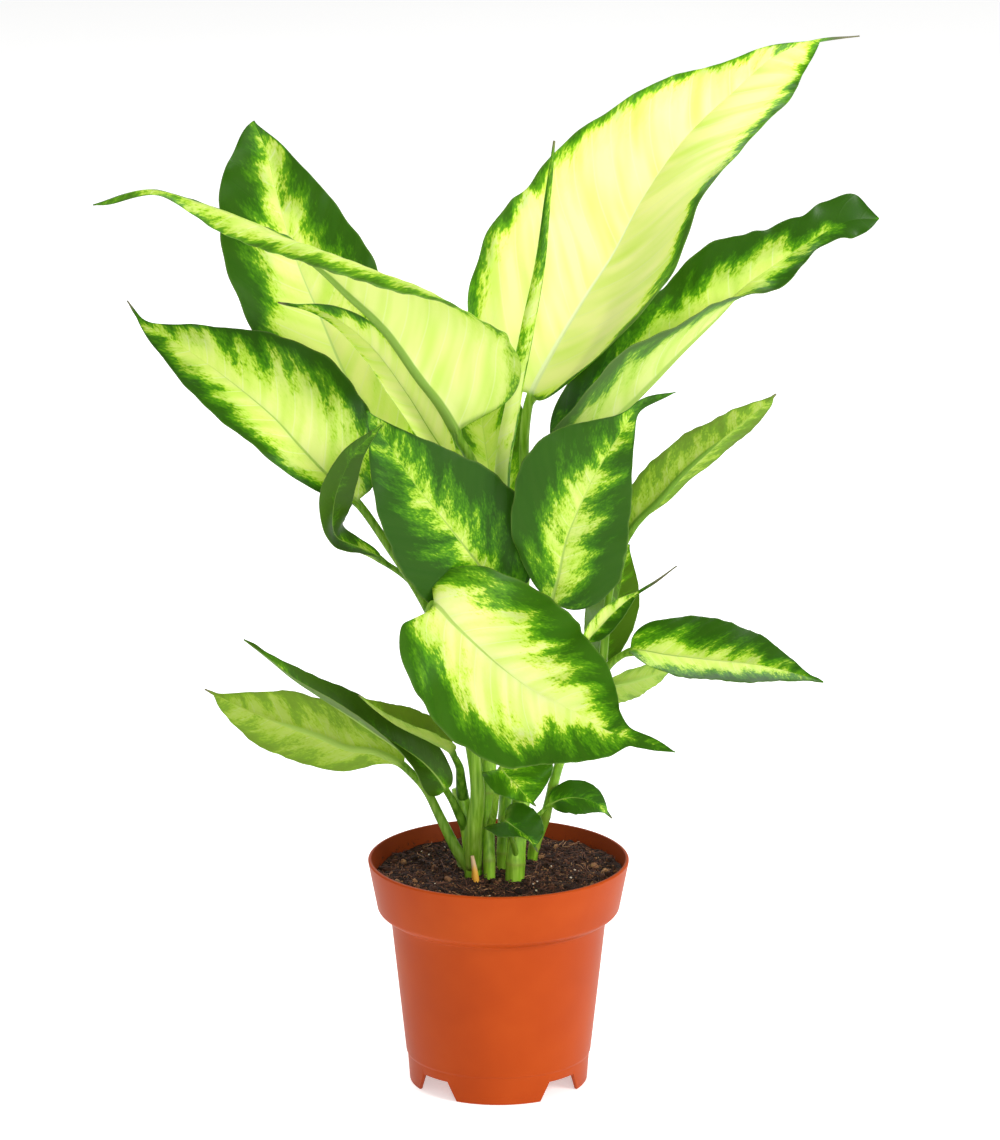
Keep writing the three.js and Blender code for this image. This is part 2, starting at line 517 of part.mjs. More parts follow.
function soilSolid(stems) {
  const edge = innerWallRadius(SOIL_LEVEL);
  const clear = 2 * GAP;
  const plug = latheOf([
    [0, floorTop + GAP], [FOOT_TOP_RADIUS - POT_WALL - GAP, floorTop + GAP],
    [NECK_RADIUS - POT_WALL - GAP, innerNeckLevel + clear],
    [innerWallRadius(shelfLevel) - GAP, shelfLevel + clear],
    ...[edge, ...SOIL_RINGS].map((radius) => [radius, SOIL_LEVEL]),
  ]);
  const position = plug.attributes.position;
  for (let i = 0; i < position.count; i += 1) {
    const [x, y, z] = [position.getX(i), position.getY(i), position.getZ(i)];
    const onTop = z > SOIL_LEVEL - 0.01;
    if (onTop) {
      const height = soilHeight(x, y);
      const atWall = Math.hypot(x, y) > edge - 0.01;
      const share = atWall ? (innerWallRadius(height) - GAP) / edge : 1;
      position.setXYZ(i, x * share, y * share, height);
    }
  }
  return stems.reduce((soil, stem) => soil.subtract(stem), solidOf(plug));
}

// Canes and shoots: round stems with leaf scars, each drawn around its middle line
function frameAcross(tangent, facing) {
  const normal = facing.clone().addScaledVector(tangent, -facing.dot(tangent)).normalize();
  return { normal, side: new THREE.Vector3().crossVectors(tangent, normal) };
}

function roundRing(centre, tangent, facing, radius, sides) {
  const { normal, side } = frameAcross(tangent, facing);
  return Array.from({ length: sides }, (_, j) => {
    const angle = Math.PI * (1 - (2 * j + 1) / sides);
    const across = side.clone().multiplyScalar(Math.cos(angle)).addScaledVector(normal, Math.sin(angle));
    return centre.clone().addScaledVector(across, radius);
  });
}

function stemSolid(stem, extra = 0) {
  const spine = spineThrough(stem.points);
  const facing = new THREE.Vector3(0, -1, 0);
  const rings = evenSteps(0, spine.total, CANE_STEP).map((distance, i) => {
    const { point, tangent } = spineAt(spine, distance);
    const ridge = !stem.smooth && i % SCAR_EVERY === 0 ? SCAR_RIDGE : 0;
    const radius = blend(stem.radii, distance / spine.total) + ridge + extra;
    return roundRing(point, tangent, facing, radius, CANE_SIDES);
  });
  return solidOf(skinOver(rings));
}

// Leaf: a round stalk that opens into a thin blade with a keeled rib underneath
function leafStations(leaf) {
  const spine = spineThrough([...leaf.stalk, ...leaf.rib]);
  const base = spine.lengths[SAMPLES_PER_SPAN * leaf.stalk.length];
  const bladeEnd = spine.total - leaf.tail[0];
  return { spine, base, bladeEnd };
}

// Half width of one side at t, from 0 at the base to 1 at the tip
function halfWidth(leaf, hand, t) {
  const pairs = [leaf.half, leaf.widest, leaf.base, leaf.taper];
  const [half, widest, base, taper] = pairs.map((pair) => pair[hand]);
  if (t >= 1) {
    return 0;
  }
  if (t < widest) {
    return half * (1 - (1 - t / widest) ** 2) ** base;
  }
  const rest = (t - widest) / (1 - widest);
  return half * (1 - rest) ** taper * (1 + taper * rest);
}

// A place on a half blade: how far out and up it lies, and how steeply it climbs there
function halfSection(fold, roll, reach) {
  let out = 0;
  let up = 0;
  for (let k = 0; k < SECTION_PIECES; k += 1) {
    const middle = (reach * (k + 0.5)) / SECTION_PIECES;
    const angle = THREE.MathUtils.degToRad(fold + roll * middle ** 2);
    out += (Math.cos(angle) * reach) / SECTION_PIECES;
    up += (Math.sin(angle) * reach) / SECTION_PIECES;
  }
  return { out, up, slope: THREE.MathUtils.degToRad(fold + roll * reach ** 2) };
}

function blendVector(vectors, t) {
  return new THREE.Vector3(...[0, 1, 2].map((axis) => blend(vectors.map((vector) => vector[axis]), t)));
}

// How far the edge of a half blade stands off its plane, and how far its lobe is set back
function edgeWave(leaf, hand, t, width, reach) {
  return leaf.wave * reach ** 2 * Math.sin(WAVES * 2 * Math.PI * t + 2 * hand) * Math.min(1, width / 10);
}

function lobeSetBack(leaf, hand, t, reach) {
  return leaf.lobe[hand] * halfWidth(leaf, hand, t) * reach * Math.max(0, 1 - t / leaf.widest[hand]) ** 2;
}

// The stalk's width at the blade's base, and that of the drawn-out end from just before
// the blade's tip
function leastHalfWidth(leaf, hand, t, beyond) {
  const atBase = THREE.MathUtils.lerp(leaf.girth[1], THINNEST_TAIL, Math.min(1, 3 * Math.max(t, 0)));
  const spent = THREE.MathUtils.clamp(beyond / Math.max(leaf.tail[0], 1), 0, 1);
  const drawnOut = leaf.tail[1 + hand] * THREE.MathUtils.smoothstep(t, TAIL_START, 1) * (1 - spent ** 2);
  return Math.max(atBase, drawnOut);
}

function bladeRing(leaf, stations, distance, columns) {
  const { spine, base, bladeEnd } = stations;
  const t = (distance - base) / (bladeEnd - base);
  const { point, tangent } = spineAt(spine, distance);
  const { normal, side } = frameAcross(tangent, blendVector(leaf.face, t));
  const stalkRadius = leaf.girth[1];
  const keel = (2 * stalkRadius - BLADE_THICKNESS) * Math.max(0, 1 - t) ** 1.3;
  const upper = [];
  const lower = [];
  for (const column of columns) {
    const hand = column < 0 ? 0 : 1;
    const sign = column < 0 ? -1 : 1;
    const reach = Math.abs(column);
    const width = Math.hypot(leastHalfWidth(leaf, hand, t, distance - bladeEnd), halfWidth(leaf, hand, t));
    const { out, up, slope } = halfSection(blend(leaf.fold[hand], t), blend(leaf.roll[hand], t), reach);
    const place = point.clone()
      .addScaledVector(tangent, -lobeSetBack(leaf, hand, t, reach))
      .addScaledVector(side, sign * width * out)
      .addScaledVector(normal, width * up + edgeWave(leaf, hand, t, width, reach));
    const outward = normal.clone().multiplyScalar(Math.cos(slope))
      .addScaledVector(side, -sign * Math.sin(slope));
    const belly = reach < KEEL_REACH ? keel : 0;
    upper.push(place.clone().addScaledVector(outward, BLADE_THICKNESS / 2));
    lower.push(place.clone().addScaledVector(outward, -BLADE_THICKNESS / 2 - belly));
  }
  return [...upper, ...lower.reverse()];
}

function stalkRing(leaf, stations, distance, sides, extra) {
  const { spine, base } = stations;
  const { point, tangent } = spineAt(spine, distance);
  const facing = blendVector(leaf.face, 0);
  const { normal } = frameAcross(tangent, facing);
  const radius = leaf.girth[1] + (leaf.girth[0] - leaf.girth[1]) * (1 - distance / base) ** 1.5;
  const seated = THREE.MathUtils.smoothstep(distance, base - SEAT_LENGTH, base);
  const seat = seated * (radius - BLADE_THICKNESS / 2);
  return roundRing(point.addScaledVector(normal, -seat), tangent, facing, radius + extra, sides);
}

function bladePlaces(base, bladeEnd, total) {
  const length = bladeEnd - base;
  const count = Math.max(LEAST_BLADE_STEPS, Math.round(length / BLADE_STEP) + 2);
  const places = Array.from({ length: count + 1 }, (_, i) => {
    const even = i / count;
    const eased = (1 - Math.cos(Math.PI * even)) / 2;
    return base + (length * (even + eased)) / 2;
  });
  const tail = TAIL_STEPS.map((share) => bladeEnd + share * (total - bladeEnd));
  return total > bladeEnd + 1 ? [...places, ...tail] : places;
}

function leafSolid(leaf) {
  const stations = leafStations(leaf);
  const columns = leaf.rolled ? ROLLED_COLUMNS : FLAT_COLUMNS;
  const stalk = evenSteps(0, stations.base - STALK_REST, STALK_STEP)
    .map((distance) => stalkRing(leaf, stations, distance, 2 * columns.length, 0));
  const blade = bladePlaces(stations.base, stations.bladeEnd, stations.spine.total)
    .map((distance) => bladeRing(leaf, stations, distance, columns));
  return solidOf(skinOver([...stalk, ...blade]));
}

function stalkCutter(leaf) {
  const stations = leafStations(leaf);
  const rings = evenSteps(0, stations.base - STALK_REST, STALK_STEP)
    .map((distance) => stalkRing(leaf, stations, distance, 2 * FLAT_COLUMNS.length, GAP));
  return solidOf(skinOver(rings));
}

const wideStems = [];
const wideCanes = {};
for (const cane of CANES) {
  wideCanes[cane.name] = stemSolid(cane, GAP);
  wideStems.push(wideCanes[cane.name]);
  addPiece(cane.name, stemSolid(cane), CANE_COLOUR, 0.5);
}
for (const shoot of SHOOTS) {
  wideStems.push(stemSolid(shoot, GAP));
  addPiece(shoot.name, stemSolid(shoot), shoot.colour, 0.5);
}
addPiece('pot', potSolid(), POT_COLOUR, 0.45);
addPiece('soil', soilSolid(wideStems), SOIL_COLOUR, 0.95);

// Leaves of one cane hug it, and each other's stalks, with a clearance between them
for (const leaf of LEAVES) {
  let solid = leafSolid(leaf).subtract(wideCanes[leaf.cane]);
  const earlier = LEAVES.slice(0, LEAVES.indexOf(leaf)).filter((other) => other.cane === leaf.cane);
  for (const other of earlier) {
    solid = solid.subtract(stalkCutter(other));
  }
  addPiece(leaf.name, solid, leaf.colour, 0.35);
}

export default plant;
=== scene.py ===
import math

import bpy
import numpy as np
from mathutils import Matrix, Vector, noise


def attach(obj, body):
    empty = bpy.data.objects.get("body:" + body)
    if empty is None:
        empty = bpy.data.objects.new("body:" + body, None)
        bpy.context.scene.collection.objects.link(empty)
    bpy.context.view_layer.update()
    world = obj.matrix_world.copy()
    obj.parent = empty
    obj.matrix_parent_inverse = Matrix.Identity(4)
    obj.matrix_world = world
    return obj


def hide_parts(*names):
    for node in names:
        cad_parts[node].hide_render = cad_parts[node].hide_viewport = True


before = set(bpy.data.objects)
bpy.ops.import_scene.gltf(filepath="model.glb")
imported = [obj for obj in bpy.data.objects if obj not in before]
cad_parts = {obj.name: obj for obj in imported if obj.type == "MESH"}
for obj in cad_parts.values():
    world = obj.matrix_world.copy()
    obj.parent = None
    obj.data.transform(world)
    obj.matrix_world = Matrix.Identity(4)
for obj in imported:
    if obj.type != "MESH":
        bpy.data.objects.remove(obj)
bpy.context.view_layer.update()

scene = bpy.context.scene
MM = 0.001

# Camera: a long lens about three metres from the plant and a little above its leaves,
# so that it looks down into the pot by 15 degrees, as the photograph does.
LOOK_DOWN = 15.35
camera_lens = bpy.data.cameras.new("camera")
camera_lens.lens = 221.05
camera_lens.sensor_width = 36
camera_lens.clip_end = 60
camera = bpy.data.objects.new("camera", camera_lens)
camera.location = (0.0007, -3.0657, 1.0844)
camera.rotation_euler = (math.radians(90 - LOOK_DOWN), 0, 0)
scene.collection.objects.link(camera)
scene.camera = camera


# Pot: a round nursery pot of terracotta-coloured polypropylene, injection moulded in one
# shot: a deep collar under the rim, a thin tapered wall, a small step above the ground,
# four feet with a notch between each two, and six drain holes in the raised floor.
RIM_RADIUS = 60
RIM_LEVEL = 106
POT_WALL = 1.6
COLLAR_FOOT_RADIUS = 55.6
COLLAR_SHELF = 83.1
INSIDE_TOP_RADIUS = 48
INSIDE_FLOOR_RADIUS = 40.4
FLOOR_LEVEL = 10
FLOOR_TOP = 11.8
FOOT_RADIUS = 41
FOOT_COUNT = 4
NOTCH_HEIGHT = 9
NOTCH_TOP_HALF_ANGLE = 10.8
NOTCH_GROUND_HALF_ANGLE = 17
NOTCH_RADII = (30, 60)
DRAIN_COUNT = 6
DRAIN_RADIUS = 4
DRAIN_RING_RADIUS = 24
DRAIN_LEVELS = (5, 16)
POT_SEGMENTS = 192
EDGE_SOFTNESS = 0.3
SOFTENED_ANGLE = 50
SHARP_ANGLE = 40
COLLAR_SLOPE = (RIM_RADIUS - COLLAR_FOOT_RADIUS) / (RIM_LEVEL - COLLAR_SHELF)


def inner_wall_radius(height):
    """The radius inside the collar at a height."""
    share = (height - COLLAR_SHELF) / (RIM_LEVEL - COLLAR_SHELF)
    return COLLAR_FOOT_RADIUS + (RIM_RADIUS - COLLAR_FOOT_RADIUS) * share - POT_WALL


# The wall's section: radius, height and how far each corner is rounded, in millimetres
POT_SECTION = [
    (0, FLOOR_LEVEL, 0), (39.4, FLOOR_LEVEL, 0.5), (39.4, 0, 0.3), (FOOT_RADIUS, 0, 0.4), (42, 13, 0.4),
    (42.6, 14, 0.5), (49.6, 78.5, 1.0), (54, 80.9, 1.2), (COLLAR_FOOT_RADIUS, 82.5, 1.0),
    (RIM_RADIUS, 105.3, 0.35), (59.3, RIM_LEVEL, 0.35), (inner_wall_radius(RIM_LEVEL), RIM_LEVEL, 0.3),
    (inner_wall_radius(COLLAR_SHELF), COLLAR_SHELF, 1.2), (INSIDE_TOP_RADIUS, 79.3, 1.5),
    (INSIDE_FLOOR_RADIUS, FLOOR_TOP, 2), (0, FLOOR_TOP, 0),
]


def rounded_section(corners, steps=4, longest=7):
    """The section with its corners rounded and its long runs divided."""
    line = []
    for i, (radius, height, rounding) in enumerate(corners):
        corner = np.array([radius, height], float)
        if rounding == 0:
            line.append(corner)
            continue
        before = np.array(corners[i - 1][:2], float) - corner
        after = np.array(corners[i + 1][:2], float) - corner
        start = corner + before / np.linalg.norm(before) * min(rounding, np.linalg.norm(before) / 2.2)
        end = corner + after / np.linalg.norm(after) * min(rounding, np.linalg.norm(after) / 2.2)
        for s in np.linspace(0, 1, steps + 1):
            line.append((1 - s) ** 2 * start + 2 * s * (1 - s) * corner + s ** 2 * end)
    divided = [line[0]]
    for point in line[1:]:
        pieces = max(1, int(np.ceil(np.linalg.norm(point - divided[-1]) / longest)))
        begin = divided[-1]
        divided += [begin + (point - begin) * (k + 1) / pieces for k in range(pieces)]
    return np.array(divided)


def mesh_piece(name, points, faces, smooth=True):
    """A new object from points in millimetres."""
    mesh = bpy.data.meshes.new(name)
    mesh.from_pydata((np.asarray(points, float) * MM).tolist(), [], faces)
    mesh.validate()
    mesh.polygons.foreach_set("use_smooth", [smooth] * len(mesh.polygons))
    piece = bpy.data.objects.new(name, mesh)
    scene.collection.objects.link(piece)
    return piece


def turned_form(section, segments):
    """Points and faces of a section on the axis, turned once round it."""
    angles = np.arange(segments) * 2 * np.pi / segments
    inner = section[1:-1]
    rings = np.stack([
        inner[:, :1] * np.cos(angles), inner[:, :1] * np.sin(angles),
        np.repeat(inner[:, 1:], segments, axis=1),
    ], axis=2).reshape(-1, 3)
    points = np.vstack([rings, [0, 0, section[0, 1]], [0, 0, section[-1, 1]]])
    first, last = len(points) - 2, len(points) - 1
    faces = []
    for k in range(segments):
        n = (k + 1) % segments
        for i in range(len(inner) - 1):
            a, b = i * segments, (i + 1) * segments
            faces.append((a + k, a + n, b + n, b + k))
        top = (len(inner) - 1) * segments
        faces.append((first, n, k))
        faces.append((last, top + k, top + n))
    return points, faces


def notch_form(turn):
    """A wedge that cuts one notch between two feet."""
    ground = FOOT_RADIUS * math.tan(math.radians(NOTCH_GROUND_HALF_ANGLE))
    top = FOOT_RADIUS * math.tan(math.radians(NOTCH_TOP_HALF_ANGLE))
    section = [(-ground, -1), (ground, -1), (top, NOTCH_HEIGHT), (-top, NOTCH_HEIGHT)]
    c, s = math.cos(turn), math.sin(turn)
    points = [(c * r - s * x, s * r + c * x, z) for r in NOTCH_RADII for x, z in section]
    faces = [(0, 3, 2, 1), (4, 5, 6, 7), (0, 1, 5, 4), (1, 2, 6, 5), (2, 3, 7, 6), (3, 0, 4, 7)]
    return points, faces


def drain_form(turn, sides=32):
    """A rod that cuts one drain hole."""
    x, y = DRAIN_RING_RADIUS * math.cos(turn), DRAIN_RING_RADIUS * math.sin(turn)
    angles = np.arange(sides) * 2 * np.pi / sides
    ring = [(x + DRAIN_RADIUS * math.cos(a), y + DRAIN_RADIUS * math.sin(a)) for a in angles]
    points = [(*p, z) for z in DRAIN_LEVELS for p in ring]
    faces = [(k, (k + 1) % sides, sides + (k + 1) % sides, sides + k) for k in range(sides)]
    return points, [tuple(reversed(range(sides))), tuple(range(sides, 2 * sides)), *faces]


pot = mesh_piece("pot_shell", *turned_form(rounded_section(POT_SECTION), POT_SEGMENTS))
cutter_forms = [notch_form((i + 0.5) * 2 * math.pi / FOOT_COUNT) for i in range(FOOT_COUNT)]
cutter_forms += [drain_form(i * 2 * math.pi / DRAIN_COUNT) for i in range(DRAIN_COUNT)]
cutter_points, cutter_faces = [], []
for form_points, form_faces in cutter_forms:
    cutter_faces += [tuple(len(cutter_points) + k for k in face) for face in form_faces]
    cutter_points += form_points
cutters = mesh_piece("pot_cutters", cutter_points, cutter_faces, smooth=False)
cut = pot.modifiers.new("cut", "BOOLEAN")
cut.operation = "DIFFERENCE"
cut.solver = "EXACT"
cut.object = cutters
softened = pot.modifiers.new("softened", "BEVEL")
softened.limit_method = "ANGLE"
softened.angle_limit = math.radians(SOFTENED_ANGLE)
softened.width = EDGE_SOFTNESS * MM
softened.segments = 2


def finished_mesh(piece, name):
    """The piece's mesh with its modifiers worked in."""
    bpy.context.view_layer.update()
    evaluated = piece.evaluated_get(bpy.context.evaluated_depsgraph_get())
    mesh = bpy.data.meshes.new_from_object(evaluated)
    mesh.name = name
    piece.modifiers.clear()
    piece.data = mesh
    return mesh


finished_mesh(pot, "pot_shell").set_sharp_from_angle(angle=math.radians(SHARP_ANGLE))
bpy.data.objects.remove(cutters)


def paint(hex_code):
    """An sRGB hex colour as linear red, green, blue and alpha."""
    channels = [int(hex_code[i:i + 2], 16) / 255 for i in (1, 3, 5)]
    return (*(c / 12.92 if c <= 0.04045 else ((c + 0.055) / 1.055) ** 2.4 for c in channels), 1)


def add_node(tree, kind, given=(), out=0):
    """Adds a node and gives back one output. Each thing given is a property, the value of
    an input, or another node's output to be joined to that input."""
    node = tree.nodes.new(kind)
    for key, value in dict(given).items():
        if isinstance(value, bpy.types.NodeSocket):
            tree.links.new(value, node.inputs[key])
        elif isinstance(key, str) and hasattr(node, key):
            setattr(node, key, value)
        else:
            node.inputs[key].default_value = value
    return node.outputs[out] if len(node.outputs) else None


def maths(tree, operation, *values):
    return add_node(tree, "ShaderNodeMath", {"operation": operation, **dict(enumerate(values))})


def mottle(tree, place, scale, detail=2, roughness=0.5):
    """Soft random patches."""
    return add_node(tree, "ShaderNodeTexNoise", {
        "Vector": place, "Scale": scale, "Detail": detail, "Roughness": roughness,
    })


def rescaled(tree, value, before, after=(0, 1), kind="LINEAR", clamp=True):
    """A number that runs over one range, moved to another."""
    return add_node(tree, "ShaderNodeMapRange", {
        "interpolation_type": kind, "clamp": clamp, "Value": value,
        "From Min": before[0], "From Max": before[1], "To Min": after[0], "To Max": after[1],
    })


def ramp(tree, share, colours):
    """The colour found at a share along a row of (place, hex colour)."""
    found = add_node(tree, "ShaderNodeValToRGB", {"Fac": share})
    stops = found.node.color_ramp.elements
    while len(stops) < len(colours):
        stops.new(0.5)
    for stop, (position, colour) in zip(stops, colours):
        stop.position, stop.color = position, paint(colour)
    return found


def laid_over(tree, share, under, over, kind="MIX"):
    """One colour over another, by a share."""
    return add_node(tree, "ShaderNodeMix", {
        "data_type": "RGBA", "blend_type": kind, 0: share, 6: under, 7: over,
    }, out=2)


def bump(tree, height, strength, distance):
    return add_node(tree, "ShaderNodeBump", {"Strength": strength, "Distance": distance, "Height": height})


def object_place(tree):
    return add_node(tree, "ShaderNodeTexCoord", out="Object")


def point_mark(tree, label):
    return add_node(tree, "ShaderNodeAttribute", {"attribute_name": label}, out="Fac")


def bare_material(name):
    """A material whose nodes are still to be added, and its tree."""
    material = bpy.data.materials.new(name)
    material.use_nodes = True
    material.node_tree.nodes.clear()
    return material, material.node_tree


def give_surface(tree, given):
    """The shader of a material's surface, with its settings."""
    surface = add_node(tree, "ShaderNodeBsdfPrincipled", given)
    add_node(tree, "ShaderNodeOutputMaterial", {"Surface": surface})


# Moulded polypropylene: satin, with the faint clouding of its pigment and a skin of very
# low grain from the mould. Inside the collar, painted shade darkens the whole wall from just under the soil
# up to the rim, and splashes of peat stick a little higher than the soil.
SOIL_LINE = 98 * MM
WALL_MIDDLE_AT_GROUND = (COLLAR_FOOT_RADIUS - POT_WALL / 2 - COLLAR_SLOPE * COLLAR_SHELF) * MM
moulded_polypropylene, tree = bare_material("moulded_polypropylene")
place = object_place(tree)
clouding = mottle(tree, place, scale=22, detail=3, roughness=0.55)
shell_colour = ramp(tree, clouding, [(0.3, "#9f3b0b"), (0.5, "#a53f0d"), (0.7, "#ab4410")])
height = add_node(tree, "ShaderNodeSeparateXYZ", {"Vector": place}, out="Z")
level_place = add_node(tree, "ShaderNodeVectorMath", {"operation": "MULTIPLY", 0: place, 1: (1, 1, 0)})
distance = add_node(tree, "ShaderNodeVectorMath", {"operation": "LENGTH", 0: level_place}, out="Value")
wall_middle = maths(tree, "MULTIPLY_ADD", height, COLLAR_SLOPE, WALL_MIDDLE_AT_GROUND)
inside = maths(tree, "LESS_THAN", distance, wall_middle)
from_soil = maths(tree, "SUBTRACT", height, SOIL_LINE)
near_soil = rescaled(tree, maths(tree, "ABSOLUTE", from_soil), (0.0015, 0.0055), (1, 0))
peat_specks = rescaled(tree, mottle(tree, place, scale=420, detail=4, roughness=0.7), (0.42, 0.66))
splashes = maths(tree, "MULTIPLY", near_soil, peat_specks)
# Painted shade: the whole inner wall from just under the soil line up to the rim is darkened towards dark
# brown
painted_inner_shade = rescaled(tree, from_soil, (-0.004, -0.003), (0, 0.45))
# The darkening joins real peat splashes near the soil with this painted shade over the inner wall
peat_splashes_and_painted_shade = maths(tree, "MULTIPLY", maths(tree, "MAXIMUM", splashes, painted_inner_shade), inside)
give_surface(tree, {
    "Base Color": laid_over(tree, peat_splashes_and_painted_shade, shell_colour, paint("#4a2618")),
    "Roughness": rescaled(tree, clouding, (0, 1), (0.4, 0.5)), "IOR": 1.49, "Specular IOR Level": 0.1,
    "Normal": bump(tree, mottle(tree, place, scale=900), strength=0.12, distance=0.0002),
})

pot.data.materials.append(moulded_polypropylene)
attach(pot, "root")
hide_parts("pot")


# Soil: peat-based potting mix pressed in round the stems, coarse and dark, with crumbs,
# loose fibres of coir and a few grains of white grit lying on it.
SOIL_LEVEL = 98.8
SOIL_SLOPE = 0.02
SOIL_MOUND = 1.4
SOIL_LUMP = 0.8
CLOD_SIZE = 7
LUMP_SIZE = 3.1
CRUMB_SIZE = 1.3
WALL_GAP = 0.3
CALM_WIDTH = 3
CALM_SHARE = 0.4
PLUG_SHOULDER = 79.9
SOIL_RINGS = 84
SOIL_SPOKES = 180


def soil_height(x, y):
    """The soil's own level, a little mounded, lumpy and higher on the right."""
    share = math.hypot(x, y) / inner_wall_radius(SOIL_LEVEL)
    lumps = math.sin(0.23 * x + 1.3) * math.cos(0.19 * y) + 0.5 * math.sin(0.41 * x - 0.37 * y)
    return SOIL_LEVEL + SOIL_SLOPE * x + SOIL_MOUND * (1 - share ** 2) + SOIL_LUMP * lumps


def clod_height(x, y):
    """Clods, lumps and crumbs laid over the soil's own level."""
    clods = noise.noise(Vector((x / CLOD_SIZE, y / CLOD_SIZE, 0.3)))
    lumps = noise.noise(Vector((x / LUMP_SIZE, y / LUMP_SIZE, 4.7)))
    crumbs = noise.noise(Vector((x / CRUMB_SIZE, y / CRUMB_SIZE, 9.1)))
    return 0.9 * clods + 1.1 * abs(lumps) ** 0.8 + 0.45 * crumbs - 0.5


edge = inner_wall_radius(SOIL_LEVEL) - WALL_GAP
soil_points, soil_faces = [], []
for i in range(SOIL_RINGS):
    radius = edge * ((SOIL_RINGS - i) / SOIL_RINGS) ** 0.8
    for k in range(SOIL_SPOKES):
        angle = 2 * math.pi * (k + 0.5 * (i % 2)) / SOIL_SPOKES
        x, y = radius * math.cos(angle), radius * math.sin(angle)
        rough = CALM_SHARE + (1 - CALM_SHARE) * min(1, (edge - radius) / CALM_WIDTH)
        soil_points.append((x, y, soil_height(x, y) + clod_height(x, y) * rough))
plug = [
    (inner_wall_radius(COLLAR_SHELF) - WALL_GAP, COLLAR_SHELF + 2 * WALL_GAP),
    (INSIDE_TOP_RADIUS - WALL_GAP, PLUG_SHOULDER), (INSIDE_FLOOR_RADIUS - WALL_GAP, FLOOR_TOP + WALL_GAP),
]
for radius, level in plug:
    for k in range(SOIL_SPOKES):
        angle = 2 * math.pi * k / SOIL_SPOKES
        soil_points.append((radius * math.cos(angle), radius * math.sin(angle), level))
last_ring = SOIL_RINGS + len(plug) - 1
ring_order = [*range(last_ring, SOIL_RINGS - 1, -1), *range(SOIL_RINGS)]
for lower, upper in zip(ring_order, ring_order[1:]):
    for k in range(SOIL_SPOKES):
        n = (k + 1) % SOIL_SPOKES
        a, b = lower * SOIL_SPOKES, upper * SOIL_SPOKES
        soil_faces.append((a + k, a + n, b + n, b + k))
soil_points += [(0, 0, soil_height(0, 0)), (0, 0, FLOOR_TOP + WALL_GAP)]
for k in range(SOIL_SPOKES):
    n = (k + 1) % SOIL_SPOKES
    top, bottom = (SOIL_RINGS - 1) * SOIL_SPOKES, last_ring * SOIL_SPOKES
    soil_faces.append((len(soil_points) - 2, top + k, top + n))
    soil_faces.append((len(soil_points) - 1, bottom + n, bottom + k))
soil = mesh_piece("soil_body", soil_points, soil_faces)

# Peat: matt and nearly black when moist, with browner, drier patches
moist_peat, tree = bare_material("moist_peat")
place = object_place(tree)
peat_colour = ramp(tree, mottle(tree, place, scale=260, detail=5, roughness=0.68), [
    (0.32, "#140c08"), (0.48, "#2a1810"), (0.6, "#422618"), (0.74, "#603b27"),
])
peat_grain = mottle(tree, place, scale=1100, detail=4, roughness=0.7)
give_surface(tree, {
    "Base Color": peat_colour, "Roughness": 0.93, "Specular IOR Level": 0.25,
    "Normal": bump(tree, peat_grain, strength=0.9, distance=0.0008),
})
soil.data.materials.append(moist_peat)

# Crumbs: each takes one shade of peat, from wet to dry bark
crumbled_peat, tree = bare_material("crumbled_peat")
crumb_colour = ramp(tree, point_mark(tree, "shade"), [
    (0.0, "#170d08"), (0.5, "#301c12"), (0.85, "#563422"), (1.0, "#8a6442"),
])
crumb_grain = mottle(tree, object_place(tree), scale=1500, detail=3)
give_surface(tree, {
    "Base Color": crumb_colour, "Roughness": 0.9, "Specular IOR Level": 0.25,
    "Normal": bump(tree, crumb_grain, strength=0.7, distance=0.0004),
})

# Coir: dry, reddish-brown hairs that catch the light
loose_coir, tree = bare_material("loose_coir")
coir_colour = ramp(tree, point_mark(tree, "shade"), [
    (0.0, "#26140c"), (0.5, "#46271a"), (0.8, "#7a4a2e"), (1.0, "#b58a5e"),
])
give_surface(tree, {"Base Color": coir_colour, "Roughness": 0.7})

# Grit: grains of expanded white stone, mixed in to keep the soil open
white_grit, tree = bare_material("white_grit")
pitting = mottle(tree, object_place(tree), scale=1800, detail=3)
give_surface(tree, {
    "Base Color": ramp(tree, pitting, [(0.35, "#a8937c"), (0.65, "#d9cdbc")]), "Roughness": 0.85,
    "Normal": bump(tree, pitting, strength=0.6, distance=0.0003),
})

# Loose pieces lie only on top of the soil and a little off the pot's wall
STREWN_RADIUS = 54.5 * MM
STREWN_LEVEL = 94 * MM
WHOLE_TURN = 6.28


def scattering_tree(name, sizes):
    """A geometry tree with named inputs, what they give, and the points it strews on the soil."""
    tree = bpy.data.node_groups.new(name, "GeometryNodeTree")
    tree.interface.new_socket("Soil", in_out="INPUT", socket_type="NodeSocketGeometry")
    for label, kind in sizes.items():
        tree.interface.new_socket(label, in_out="INPUT", socket_type="NodeSocket" + kind)
    tree.interface.new_socket("Scattered", in_out="OUTPUT", socket_type="NodeSocketGeometry")
    given = add_node(tree, "NodeGroupInput").node.outputs
    place = add_node(tree, "GeometryNodeInputPosition")
    level_place = add_node(tree, "ShaderNodeVectorMath", {"operation": "MULTIPLY", 0: place, 1: (1, 1, 0)})
    from_middle = add_node(tree, "ShaderNodeVectorMath", {"operation": "LENGTH", 0: level_place}, out="Value")
    height = add_node(tree, "ShaderNodeSeparateXYZ", {"Vector": place}, out="Z")
    off_wall = add_node(tree, "FunctionNodeCompare", {
        "operation": "LESS_THAN", 0: from_middle, 1: STREWN_RADIUS,
    })
    on_top = add_node(tree, "FunctionNodeCompare", {"operation": "GREATER_THAN", 0: height, 1: STREWN_LEVEL})
    chosen = add_node(tree, "FunctionNodeBooleanMath", {"operation": "AND", 0: off_wall, 1: on_top})
    strewn = add_node(tree, "GeometryNodeDistributePointsOnFaces", {
        "Mesh": given["Soil"], "Selection": chosen, "Density": given["Pieces per square metre"],
        "Seed": given["Seed"],
    })
    return tree, given, strewn


